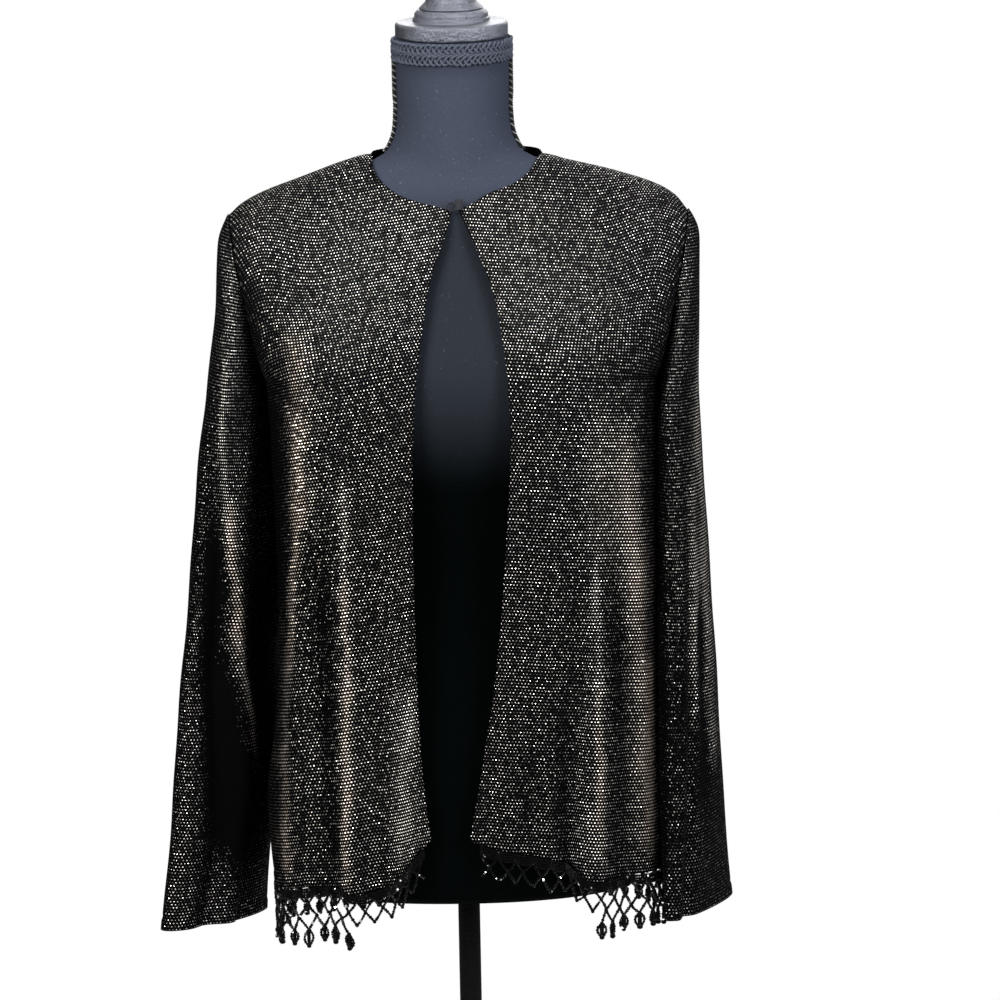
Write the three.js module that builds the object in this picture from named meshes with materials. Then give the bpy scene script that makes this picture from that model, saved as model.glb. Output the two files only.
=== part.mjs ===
import * as THREE from 'three';

// Open-front cardigan with a beaded net fringe, hanging on a limbless dress form.
// Millimetres. X runs to the viewer's right, the front faces -Y, Z is up, the pole stands on the Z axis.
// "out" in the tables below is the distance from the pole's axis toward the wearer's side being drawn.

// Cloth.
const clothWall = 1.8;
const seamGap = 0.35;
const pressGap = 4.8;
const foldRoom = 5;
// How far from the middle, front or back, that room for folds starts and is whole.
const foldStart = 35;
const foldFull = 75;
// How far the sleeve head stands off its armhole, at the inner and at the outer side.
const capInner = 2.75;
const capOuter = 1.25;
const settleInside = 0.2;
const settleOutside = 0.035;
const hemGap = 0.95;
const hemSteps = 20;
const hemInset = 3;
const underarmHeight = 1225;
const frontSquareness = 2.5;
const backSquareness = 2.3;
const frontRoll = 1.6;
const backRoll = 2.0;
const frontColumns = 18;
const backColumns = 26;
const lowerRows = 10;
const upperRows = 9;
const sleeveColumns = 22;
const sleeveRows = 15;

// Neckline and armhole.
const neckAcross = 0.21;
const centreRise = 0.62;
const backNeckHeight = 1439;
const backNeckDepth = 61;
const backCentreRise = 0.78;
const armholeFrontBulge = 48;
const armholeBackBulge = 54;
const armholeLean = 0.85;

// Beaded net fringe.
const fringePitch = 16;
const headingDepth = 6;
const netLevels = [6, 16.5, 27, 37.5];
const knotHalf = 1.0;
const netWall = 1.4;
const plainHalfWidth = 113;
const plainCentre = 6;
const dropShape = [
  { down: 3.5, half: 0.8, wall: 1.6 },
  { down: 9, half: 2.6, wall: 4.4 },
  { down: 14, half: 1.9, wall: 3.4 },
  { down: 16, half: 0.5, wall: 1.2 },
];

// Dress form and stand.
const formColumns = 28;
const turnedColumns = 24;
const neckTilt = 9 * Math.PI / 180;
const neckTopHeight = 1538;
const neckTopY = -6;
const neckBandHeight = 20.5;
const neckBandWall = 3.4;
const cordRadius = 2.2;
const cordLift = 1.1;
const poleRadius = 10.3;
const formBottomHeight = 745;
const baseRadius = 180;
const baseHeight = 14;
const collarRadius = 24;
const collarHeight = 34;

// How deep the body of the cardigan is in front of and behind the axis at each height.
const bodyDepth = [
  { height: 750, front: 117, back: 106 },
  { height: 850, front: 121, back: 112 },
  { height: 950, front: 120, back: 106 },
  { height: 1040, front: 120, back: 101 },
  { height: 1150, front: 124, back: 102 },
  { height: 1225, front: 127, back: 108 },
];

// Cut and drape of each side. edge: the opening's edge. side: the side seam. armhole: out at its bottom and
// top. top: the neckline and then the shoulder seam. hem: the height of the hem. folds: the raised folds.
const sides = {
  left: {
    sign: -1,
    edge: [
      { height: 800, out: 30 },
      { height: 838, out: 35 },
      { height: 889, out: 39.4 },
      { height: 1032, out: 42.2 },
      { height: 1158, out: 40.9 },
      { height: 1225, out: 36.7 },
      { height: 1289, out: 27.8 },
      { height: 1320, out: 21.7 },
      { height: 1353, out: 9.9 },
      { height: 1380, out: 1.5 },
    ],
    side: [
      { height: 750, out: 180 },
      { height: 790, out: 185 },
      { height: 835, out: 187 },
      { height: 866, out: 184 },
      { height: 899, out: 178 },
      { height: 950, out: 172 },
      { height: 1017, out: 170 },
      { height: 1094, out: 172 },
      { height: 1225, out: 178 },
    ],
    armhole: { low: 178, high: 209 },
    top: [
      { across: 0, out: 1.5, front: 77, height: 1379.5 },
      { across: 0.04, out: 15, front: 76, height: 1383 },
      { across: 0.08, out: 33, front: 71, height: 1388 },
      { across: 0.12, out: 50, front: 61, height: 1394.5 },
      { across: 0.16, out: 66, front: 46.5, height: 1407 },
      { across: 0.19, out: 75.6, front: 27, height: 1423.5 },
      { across: 0.21, out: 76.4, front: 0, height: 1432 },
      { across: 0.3, out: 98, front: 0, height: 1428 },
      { across: 0.5, out: 141, front: 0, height: 1413 },
      { across: 0.7, out: 177, front: 0, height: 1400 },
      { across: 0.85, out: 197, front: 0, height: 1389.5 },
      { across: 1, out: 209, front: 0, height: 1379 },
    ],
    hem: [
      { across: 0, height: 811 },
      { across: 0.055, height: 795 },
      { across: 0.125, height: 771 },
      { across: 0.2, height: 763 },
      { across: 0.286, height: 760 },
      { across: 0.33, height: 765.5 },
      { across: 0.45, height: 765 },
      { across: 0.63, height: 759 },
      { across: 1, height: 756 },
    ],
    folds: [
      { low: 700, high: 1330, outLow: 163, outHigh: 147, lift: 6, width: 15 },
      { low: 700, high: 1130, outLow: 108, outHigh: 112, lift: 5, width: 16 },
      { low: 700, high: 1000, outLow: 50, outHigh: 60, lift: 4, width: 11 },
      { low: 700, high: 1120, outLow: 136, outHigh: 132, lift: -5, width: 14 },
      { low: 700, high: 960, outLow: 80, outHigh: 84, lift: -3, width: 14 },
    ],
  },
  right: {
    sign: 1,
    edge: [
      { height: 800, out: 2 },
      { height: 831, out: 7.1 },
      { height: 857, out: 12.5 },
      { height: 898, out: 19.5 },
      { height: 939, out: 26.3 },
      { height: 1030, out: 37.1 },
      { height: 1169, out: 46.9 },
      { height: 1215, out: 46 },
      { height: 1252, out: 43 },
      { height: 1305, out: 34 },
      { height: 1349, out: 17.5 },
      { height: 1380, out: 3.6 },
    ],
    side: [
      { height: 750, out: 183 },
      { height: 782, out: 184 },
      { height: 884, out: 181.5 },
      { height: 1011, out: 182 },
      { height: 1143, out: 184.5 },
      { height: 1225, out: 185 },
    ],
    armhole: { low: 185, high: 215 },
    top: [
      { across: 0, out: 3.6, front: 77, height: 1380 },
      { across: 0.04, out: 16, front: 76.5, height: 1385.5 },
      { across: 0.08, out: 32, front: 71.5, height: 1395 },
      { across: 0.12, out: 53, front: 60, height: 1402.5 },
      { across: 0.16, out: 67.5, front: 44, height: 1412.5 },
      { across: 0.19, out: 76, front: 20, height: 1424.5 },
      { across: 0.21, out: 81, front: 0, height: 1430 },
      { across: 0.3, out: 104, front: 0, height: 1424.5 },
      { across: 0.5, out: 148, front: 0, height: 1413.5 },
      { across: 0.7, out: 184, front: 0, height: 1401.5 },
      { across: 0.85, out: 203, front: 0, height: 1390.5 },
      { across: 1, out: 215, front: 0, height: 1376 },
    ],
    hem: [
      { across: 0, height: 809.5 },
      { across: 0.043, height: 803 },
      { across: 0.11, height: 798 },
      { across: 0.211, height: 791 },
      { across: 0.3, height: 784 },
      { across: 0.34, height: 771 },
      { across: 0.39, height: 766 },
      { across: 0.54, height: 767 },
      { across: 1, height: 765 },
    ],
    folds: [
      { low: 700, high: 1080, outLow: 122, outHigh: 126, lift: 6, width: 15 },
      { low: 700, high: 1300, outLow: 171, outHigh: 160, lift: 5, width: 13 },
      { low: 700, high: 1000, outLow: 96, outHigh: 100, lift: -5, width: 11 },
      { low: 700, high: 1150, outLow: 149, outHigh: 145, lift: -4, width: 13 },
    ],
  },
};

// Folds of the back, placed across it from -1 at the left side seam to 1 at the right one.
const backFolds = [
  { low: 700, high: 1180, at: -0.62, lift: 6, width: 0.12 },
  { low: 700, high: 1120, at: -0.2, lift: 5, width: 0.14 },
  { low: 700, high: 1160, at: 0.28, lift: 6, width: 0.13 },
  { low: 700, high: 1200, at: 0.68, lift: 5, width: 0.11 },
  { low: 700, high: 1100, at: 0.04, lift: -4, width: 0.12 },
];

// Rings down each sleeve: half its long and short way across, and how far its front end turns outward.
const sleeves = {
  left: {
    cuff: 716,
    rings: [
      { height: 716, out: 240.5, back: 0, long: 66, thin: 21.5, turn: 40 },
      { height: 830, out: 229, back: 0, long: 62, thin: 29, turn: 37 },
      { height: 925, out: 220.2, back: 2, long: 65, thin: 26.5, turn: 36 },
      { height: 960, out: 218.5, back: 2, long: 64.5, thin: 24.7, turn: 34 },
      { height: 1010, out: 214.2, back: 3, long: 64, thin: 28.2, turn: 31 },
      { height: 1095, out: 207.9, back: 3, long: 64, thin: 31.7, turn: 24 },
      { height: 1164, out: 206.1, back: 2, long: 65, thin: 30.6, turn: 14 },
      { height: 1221, out: 204, back: 0, long: 65, thin: 27.7, turn: 4 },
      { height: 1300, out: 200, back: 0, long: 58, thin: 22.5, turn: 0 },
      { height: 1345, out: 200, back: 0, long: 50, thin: 20, turn: 0 },
      { height: 1380, out: 198, back: 0, long: 40, thin: 17, turn: 0 },
    ],
    folds: [
      { low: 840, high: 1320, atLow: 6, atHigh: 60, lift: 5, width: 9 },
      { low: 760, high: 1250, atLow: 28, atHigh: 82, lift: -8, width: 13 },
      { low: 700, high: 1150, atLow: 200, atHigh: 205, lift: -5, width: 14 },
    ],
  },
  right: {
    cuff: 721,
    rings: [
      { height: 721, out: 216.8, back: -9, long: 70, thin: 13.2, turn: -27 },
      { height: 820, out: 212.1, back: -8, long: 71, thin: 21.5, turn: -20 },
      { height: 915, out: 209.1, back: -6, long: 71, thin: 24, turn: -15 },
      { height: 1010, out: 207, back: -4, long: 71, thin: 23, turn: -12 },
      { height: 1104, out: 205.8, back: -2, long: 71, thin: 20.7, turn: -10 },
      { height: 1198, out: 203.8, back: 0, long: 69, thin: 18, turn: -9 },
      { height: 1255, out: 204.3, back: 0, long: 63, thin: 19.3, turn: -4 },
      { height: 1300, out: 204.5, back: 0, long: 57, thin: 19.5, turn: 0 },
      { height: 1345, out: 205.5, back: 0, long: 50, thin: 19.5, turn: 0 },
      { height: 1380, out: 205, back: 0, long: 40, thin: 18, turn: 0 },
    ],
    folds: [
      { low: 690, high: 1150, atLow: 118, atHigh: 112, lift: 4, width: 8 },
      { low: 690, high: 1130, atLow: 132, atHigh: 126, lift: -8, width: 10 },
      { low: 700, high: 1100, atLow: 320, atHigh: 315, lift: -4, width: 14 },
    ],
  },
};

// The dress form's rounded sections from its bottom to its neck top.
const formSections = [
  { height: 745, half: 150, front: 92, back: 92, square: 2.1 },
  { height: 752, half: 158, front: 100, back: 99, square: 2.1 },
  { height: 800, half: 163, front: 106, back: 104, square: 2.1 },
  { height: 870, half: 163, front: 105, back: 105, square: 2.1 },
  { height: 950, half: 148, front: 96, back: 95, square: 2.1 },
  { height: 1040, half: 124, front: 84, back: 78, square: 2.1 },
  { height: 1120, half: 133, front: 94, back: 82, square: 2.1 },
  { height: 1200, half: 147, front: 113, back: 89, square: 2.1 },
  { height: 1240, half: 152, front: 117, back: 93, square: 2.1 },
  { height: 1300, half: 162, front: 100, back: 95, square: 2.1 },
  { height: 1345, half: 175, front: 84, back: 88, square: 1.9 },
  { height: 1375, half: 180, front: 75, back: 80, square: 1.65 },
  { height: 1397, half: 168, front: 65, back: 69, square: 1.4 },
  { height: 1409, half: 146, front: 58, back: 61, square: 1.24 },
  { height: 1418.5, half: 114, front: 53, back: 54, square: 1.13 },
  { height: 1425.5, half: 79.3, front: 53, back: 50, square: 1.2 },
  { height: 1433, half: 64, front: 54, back: 48, square: 1.65 },
  { height: 1445, half: 56, front: 56, back: 48, square: 2 },
  { height: 1457, half: 52.8, front: 56, back: 47, square: 2 },
  { height: 1477, half: 51.6, front: 56, back: 45, square: 2 },
];
const neckTop = { half: 52.3, front: 54, back: 52 };

// Half widths of the turned cap and finial above the neck, measured up from the neck's top.
const capProfile = [
  { up: 0.4, radius: 50.5 },
  { up: 2, radius: 52 },
  { up: 12.5, radius: 52 },
  { up: 14.5, radius: 50 },
  { up: 15, radius: 35.5 },
  { up: 18, radius: 35.5 },
  { up: 19, radius: 33.8 },
  { up: 22, radius: 34 },
  { up: 26, radius: 30.5 },
];
const finialProfile = [
  { up: 26.4, radius: 30 },
  { up: 30, radius: 26.5 },
  { up: 33, radius: 23.4 },
  { up: 37, radius: 22.4 },
  { up: 44, radius: 22.8 },
  { up: 49, radius: 17 },
  { up: 54, radius: 12 },
  { up: 60, radius: 16 },
  { up: 70, radius: 24 },
  { up: 80, radius: 24 },
  { up: 91, radius: 18 },
  { up: 98, radius: 9 },
  { up: 101, radius: 4 },
];

// Hook and loop at the neck.
const hookWidth = 7;
const hookHeight = 10;
const hookWall = 1.4;
const hookLean = 24 * Math.PI / 180;
const hookPlace = { x: -2, y: -79.25, z: 1380 };
const loopPlace = { x: 6.7, y: -80.15, z: 1381 };
const loopRadius = 4.2;
const loopWire = 0.7;

const colours = {
  cloth: '#2c2a27',
  net: '#0b0b0c',
  form: '#23262e',
  braid: '#3a3d47',
  cap: '#8d909b',
  stand: '#0a0a0b',
  hook: '#1c1d20',
};

function mix(from, to, part) {
  return from + (to - from) * part;
}

function ease(start, end, value) {
  const part = Math.min(1, Math.max(0, (value - start) / (end - start)));
  return part * part * (3 - 2 * part);
}

// Smooth reading of one column of a table whose rows rise by the key column.
function read(table, key, at, column) {
  const last = table.length - 1;
  if (at <= table[0][key]) {
    return table[0][column];
  }
  if (at >= table[last][key]) {
    return table[last][column];
  }
  let row = 0;
  while (table[row + 1][key] < at) {
    row += 1;
  }
  const span = table[row + 1][key] - table[row][key];
  const part = (at - table[row][key]) / span;
  const slope = (index) => {
    const low = table[Math.max(0, index - 1)];
    const high = table[Math.min(last, index + 1)];
    const here = table[index][column];
    if ((high[column] - here) * (here - low[column]) === 0 && index > 0 && index < last) {
      return 0;
    }
    return (high[column] - low[column]) / (high[key] - low[key]);
  };
  const square = part * part;
  const cube = square * part;
  return table[row][column] * (2 * cube - 3 * square + 1)
    + slope(row) * span * (cube - 2 * square + part)
    + table[row + 1][column] * (3 * square - 2 * cube)
    + slope(row + 1) * span * (cube - square);
}

// Outward lift of a list of folds. Their place is read between its low and high ends.
function foldLift(folds, height, place, lowKey, highKey) {
  let lift = 0;
  for (const fold of folds) {
    const part = (height - fold.low) / (fold.high - fold.low);
    const centre = mix(fold[lowKey], fold[highKey], Math.min(1, Math.max(0, part)));
    const strength = 1 - ease(0.55, 1, part);
    lift += fold.lift * strength * Math.exp(-(((place - centre) / fold.width) ** 2));
  }
  return lift;
}

// Share of the way out and of the depth kept, for a place across a quarter section.
function quarter(across, squareness) {
  const out = 1 - (1 - across) ** 2;
  const depth = Math.max(0, 1 - out ** squareness) ** (1 / squareness);
  return { out, depth };
}

// The armhole's edge. rise goes from 0 at the underarm to 1 at the shoulder tip.
function armholePoint(side, rise, facing) {
  const bulge = facing < 0 ? armholeFrontBulge : armholeBackBulge;
  const tip = side.top[side.top.length - 1];
  return {
    out: mix(side.armhole.low, side.armhole.high, rise ** armholeLean),
    y: facing * bulge * 2 * Math.sqrt(Math.max(0, rise * (1 - rise))),
    height: mix(underarmHeight, tip.height, rise),
  };
}

// A point of half the body below the underarm. across is 0 at the middle and 1 at the side seam.
function lowerPoint(side, across, up, facing) {
  const isFront = facing < 0;
  const hemHeight = read(side.hem, 'across', isFront ? across : 1, 'height');
  const height = mix(hemHeight, underarmHeight, up);
  const share = quarter(across, isFront ? frontSquareness : backSquareness);
  const edge = isFront ? read(side.edge, 'height', height, 'out') : 0;
  const depth = read(bodyDepth, 'height', height, isFront ? 'front' : 'back');
  return {
    out: mix(edge, read(side.side, 'height', height, 'out'), share.out),
    y: facing * depth * share.depth,
    height,
  };
}

// The neckline or shoulder seam above a place across the panel.
function topPoint(side, across, facing) {
  const out = read(side.top, 'across', across, 'out');
  if (facing < 0) {
    const height = read(side.top, 'across', across, 'height');
    return { out, y: -read(side.top, 'across', across, 'front'), height };
  }
  const neck = side.top.find((row) => row.across === neckAcross);
  if (across >= neckAcross) {
    return { out, y: 0, height: read(side.top, 'across', across, 'height') };
  }
  const angle = across / neckAcross * Math.PI / 2;
  return {
    out: neck.out * Math.sin(angle),
    y: backNeckDepth * Math.cos(angle),
    height: mix(neck.height, backNeckHeight, Math.cos(angle) ** 0.5),
  };
}

// A point of half the body above the underarm, rolling over to the shoulder seam or the neckline.
function upperPoint(side, across, up, facing) {
  const isFront = facing < 0;
  const power = 2 / (isFront ? frontRoll : backRoll);
  const centreEnd = isFront ? centreRise : backCentreRise;
  const end = mix(centreEnd, 1, ease(0, neckAcross, across));
  const cosAt = (part) => Math.max(0, Math.cos(part * Math.PI / 2)) ** power;
  const sinAt = (part) => Math.sin(part * Math.PI / 2) ** power;
  const rise = sinAt(up * end) / sinAt(end);
  const fall = (cosAt(up * end) - cosAt(end)) / (1 - cosAt(end));
  const top = topPoint(side, across, facing);
  const share = quarter(across, isFront ? frontSquareness : backSquareness);
  const armhole = armholePoint(side, rise, facing);
  const height = mix(underarmHeight, top.height, rise);
  const edge = isFront ? read(side.edge, 'height', height, 'out') : 0;
  const edgeTop = isFront ? side.top[0].out : 0;
  const plain = mix(edge, armhole.out, share.out);
  const plainTop = mix(edgeTop, side.armhole.high, share.out);
  const depth = read(bodyDepth, 'height', underarmHeight, isFront ? 'front' : 'back');
  const topY = top.y / Math.max(0.5, share.depth);
  const full = topY + (facing * depth - topY) * fall;
  return {
    out: plain + (top.out - plainTop) * rise ** 1.5,
    y: mix(armhole.y, full, share.depth),
    height,
  };
}

// A point of half the body with its folds. up runs from 0 at the hem, through 1, to 2 at the top.
function bodyPoint(side, across, up, facing) {
  const base = up <= 1
    ? lowerPoint(side, across, up, facing)
    : upperPoint(side, across, up - 1, facing);
  const place = facing < 0 ? base.out : side.sign * quarter(across, backSquareness).out;
  const lift = facing < 0
    ? foldLift(side.folds, base.height, place, 'outLow', 'outHigh')
    : foldLift(backFolds, base.height, place, 'at', 'at');
  const outSlope = base.out / 180 / 180 * 0.6;
  const depthSlope = base.y / 120 / 120;
  const length = Math.hypot(outSlope, depthSlope) || 1;
  const calm = 1 - ease(0.86, 1, across);
  const x = side.sign * (base.out + lift * calm * outSlope / length);
  const y = base.y + lift * calm * depthSlope / length;
  return new THREE.Vector3(x, y, base.height);
}

// A point of a sleeve. round is 0 at the inside, a quarter at the front, a half at the outside.
function sleevePoint(side, sleeve, round, down) {
  const angle = round * 2 * Math.PI;
  const facing = Math.sin(angle) >= 0 ? -1 : 1;
  const armhole = armholePoint(side, (1 - Math.cos(angle)) / 2, facing);
  const height = mix(armhole.height, sleeve.cuff, down);
  const ring = (column) => read(sleeve.rings, 'height', height, column);
  const turn = ring('turn') * Math.PI / 180;
  const degrees = round * 360;
  const lift = foldLift(sleeve.folds, height, degrees, 'atLow', 'atHigh') * ease(0, 0.12, down);
  const forward = (ring('long') + lift * Math.abs(Math.sin(angle))) * Math.sin(angle);
  const outward = -ring('thin') * Math.cos(angle) - lift * Math.cos(angle);
  const out = ring('out') + forward * Math.sin(turn) + outward * Math.cos(turn);
  const y = ring('back') - forward * Math.cos(turn) + outward * Math.sin(turn);
  const outerShare = (1 - Math.cos(angle)) / 2;
  const part = Math.min(1, down / mix(settleInside, settleOutside, outerShare));
  const settle = 1 - (1 - part) ** 2;
  const place = mix(armhole.y, y, settle);
  const reach = mix(armhole.out + mix(capInner, capOuter, outerShare), out, settle);
  const least = height < underarmHeight ? besideBody(side, place, height) : 0;
  return new THREE.Vector3(side.sign * Math.max(reach, least), place, height);
}

// The least distance out that clears the body and its folds, at a depth and height.
function besideBody(side, place, height) {
  const isFront = place < 0;
  const squareness = isFront ? frontSquareness : backSquareness;
  const depth = read(bodyDepth, 'height', height, isFront ? 'front' : 'back');
  const share = Math.min(1, Math.abs(place) / depth);
  const out = Math.max(0, 1 - share ** squareness) ** (1 / squareness);
  const edge = isFront ? read(side.edge, 'height', height, 'out') : 0;
  const room = pressGap + foldRoom * ease(foldStart, foldFull, Math.abs(place));
  return mix(edge, read(side.side, 'height', height, 'out'), out) + room;
}

// The surface's facing at a place, from two short steps along it, turned away from the axis side given.
function facingOf(surface, across, up, flip) {
  const step = 0.004;
  const left = surface(across - step, up);
  const right = surface(across + step, up);
  const low = surface(across, up - step);
  const high = surface(across, up + step);
  return right.sub(left).cross(high.sub(low)).normalize().multiplyScalar(flip);
}

// A closed wall round an open sheet of corner points and faces.
function thickSheet(points, normals, halves, faces) {
  const count = points.length;
  const positions = [];
  for (const sign of [1, -1]) {
    points.forEach((point, index) => {
      const place = point.clone().addScaledVector(normals[index], sign * halves[index]);
      positions.push(place.x, place.y, place.z);
    });
  }
  const indices = [];
  const edges = new Map();
  for (const face of faces) {
    for (let corner = 1; corner < face.length - 1; corner += 1) {
      indices.push(face[0], face[corner], face[corner + 1]);
      indices.push(face[0] + count, face[corner + 1] + count, face[corner] + count);
    }
    face.forEach((from, corner) => {
      const to = face[(corner + 1) % face.length];
      const back = to + ',' + from;
      if (edges.has(back)) {
        edges.delete(back);
      } else {
        edges.set(from + ',' + to, [from, to]);
      }
    });
  }
  for (const [from, to] of edges.values()) {
    indices.push(to, from, from + count);
    indices.push(to, from + count, to + count);
  }
  const geometry = new THREE.BufferGeometry();
  geometry.setAttribute('position', new THREE.Float32BufferAttribute(positions, 3));
  geometry.setIndex(indices);
  geometry.computeVertexNormals();
  return geometry;
}

// A cloth wall on a grid of the surface. Rows and columns are lists of places; a closed one joins its ends.
function clothPanel(surface, columns, rows, closed, flip) {
  const points = [];
  const normals = [];
  const halves = [];
  for (const row of rows) {
    for (const column of columns) {
      points.push(surface(column, row));
      normals.push(facingOf(surface, column, row, flip));
      halves.push(clothWall / 2);
    }
  }
  const faces = [];
  const width = columns.length;
  const spans = closed ? width : width - 1;
  for (let row = 0; row < rows.length - 1; row += 1) {
    for (let column = 0; column < spans; column += 1) {
      const next = (column + 1) % width;
      const corners = [
        row * width + column,
        row * width + next,
        (row + 1) * width + next,
        (row + 1) * width + column,
      ];
      faces.push(flip > 0 ? corners : corners.reverse());
    }
  }
  return thickSheet(points, normals, halves, faces);
}

function evenly(count, start, end) {
  return Array.from({ length: count + 1 }, (_, index) => mix(start, end, index / count));
}

function bodyRows() {
  return evenly(lowerRows, 0, 1).concat(evenly(upperRows, 1, 2).slice(1));
}

function clamp(value, low, high) {
  return Math.min(high, Math.max(low, value));
}

function frontPlaces() {
  const places = evenly(frontColumns, 0, 1);
  places.splice(Math.round(neckAcross * frontColumns), 1, neckAcross);
  return places;
}

function backPlaces() {
  const half = evenly(backColumns / 2, 0, 1);
  half.splice(Math.round(neckAcross * backColumns / 2), 1, neckAcross);
  return half.slice(1).reverse().map((place) => -place).concat(half);
}

// One front panel, held back from its seams by half the seam's gap.
function frontPanel(side) {
  const surface = (across, up) => {
    const point = bodyPoint(side, clamp(across, 0, 1), clamp(up, 0, 2), -1);
    point.y -= seamGap / 2;
    return point;
  };
  return clothPanel(surface, frontPlaces(), bodyRows(), false, side.sign > 0 ? 1 : -1);
}

// The back panel, from the left side seam to the right one.
function backPanel() {
  const surface = (place, up) => {
    const side = place < 0 ? sides.left : sides.right;
    const point = bodyPoint(side, clamp(Math.abs(place), 0, 1), clamp(up, 0, 2), 1);
    point.y += seamGap / 2;
    return point;
  };
  return clothPanel(surface, backPlaces(), bodyRows(), false, -1);
}

function sleeveTube(side, sleeve) {
  const surface = (round, down) => sleevePoint(side, sleeve, round, clamp(down, 0, 1));
  const columns = evenly(sleeveColumns, 0, 1).slice(0, -1);
  const rows = evenly(sleeveRows, 0, 1).map((part) => part ** 1.35);
  return clothPanel(surface, columns, rows, true, side.sign > 0 ? 1 : -1);
}

// Places along a hem, a fringe pitch apart, with the horizontal facing of the cloth there.
function hemPlaces(curve, columns) {
  const corners = columns.map((place) => curve(place));
  const trace = [corners[0]];
  for (let index = 1; index < corners.length; index += 1) {
    for (const part of evenly(hemSteps, 0, 1).slice(1)) {
      trace.push(corners[index - 1].clone().lerp(corners[index], part));
    }
  }
  const steps = trace.length - 1;
  const lengths = [0];
  for (let index = 1; index <= steps; index += 1) {
    lengths.push(lengths[index - 1] + trace[index].distanceTo(trace[index - 1]));
  }
  const total = lengths[steps] - 2 * hemInset;
  const repeats = Math.round(total / fringePitch);
  const along = (length) => {
    const target = Math.min(total, Math.max(0, length)) + hemInset;
    let index = 0;
    while (index < steps - 1 && lengths[index + 1] < target) {
      index += 1;
    }
    const part = (target - lengths[index]) / (lengths[index + 1] - lengths[index]);
    const point = trace[index].clone().lerp(trace[index + 1], part);
    const run = trace[index + 1].clone().sub(trace[index]).setZ(0).normalize();
    return { point, facing: new THREE.Vector3(run.y, -run.x, 0) };
  };
  return { along, repeats, pitch: total / repeats };
}

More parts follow.
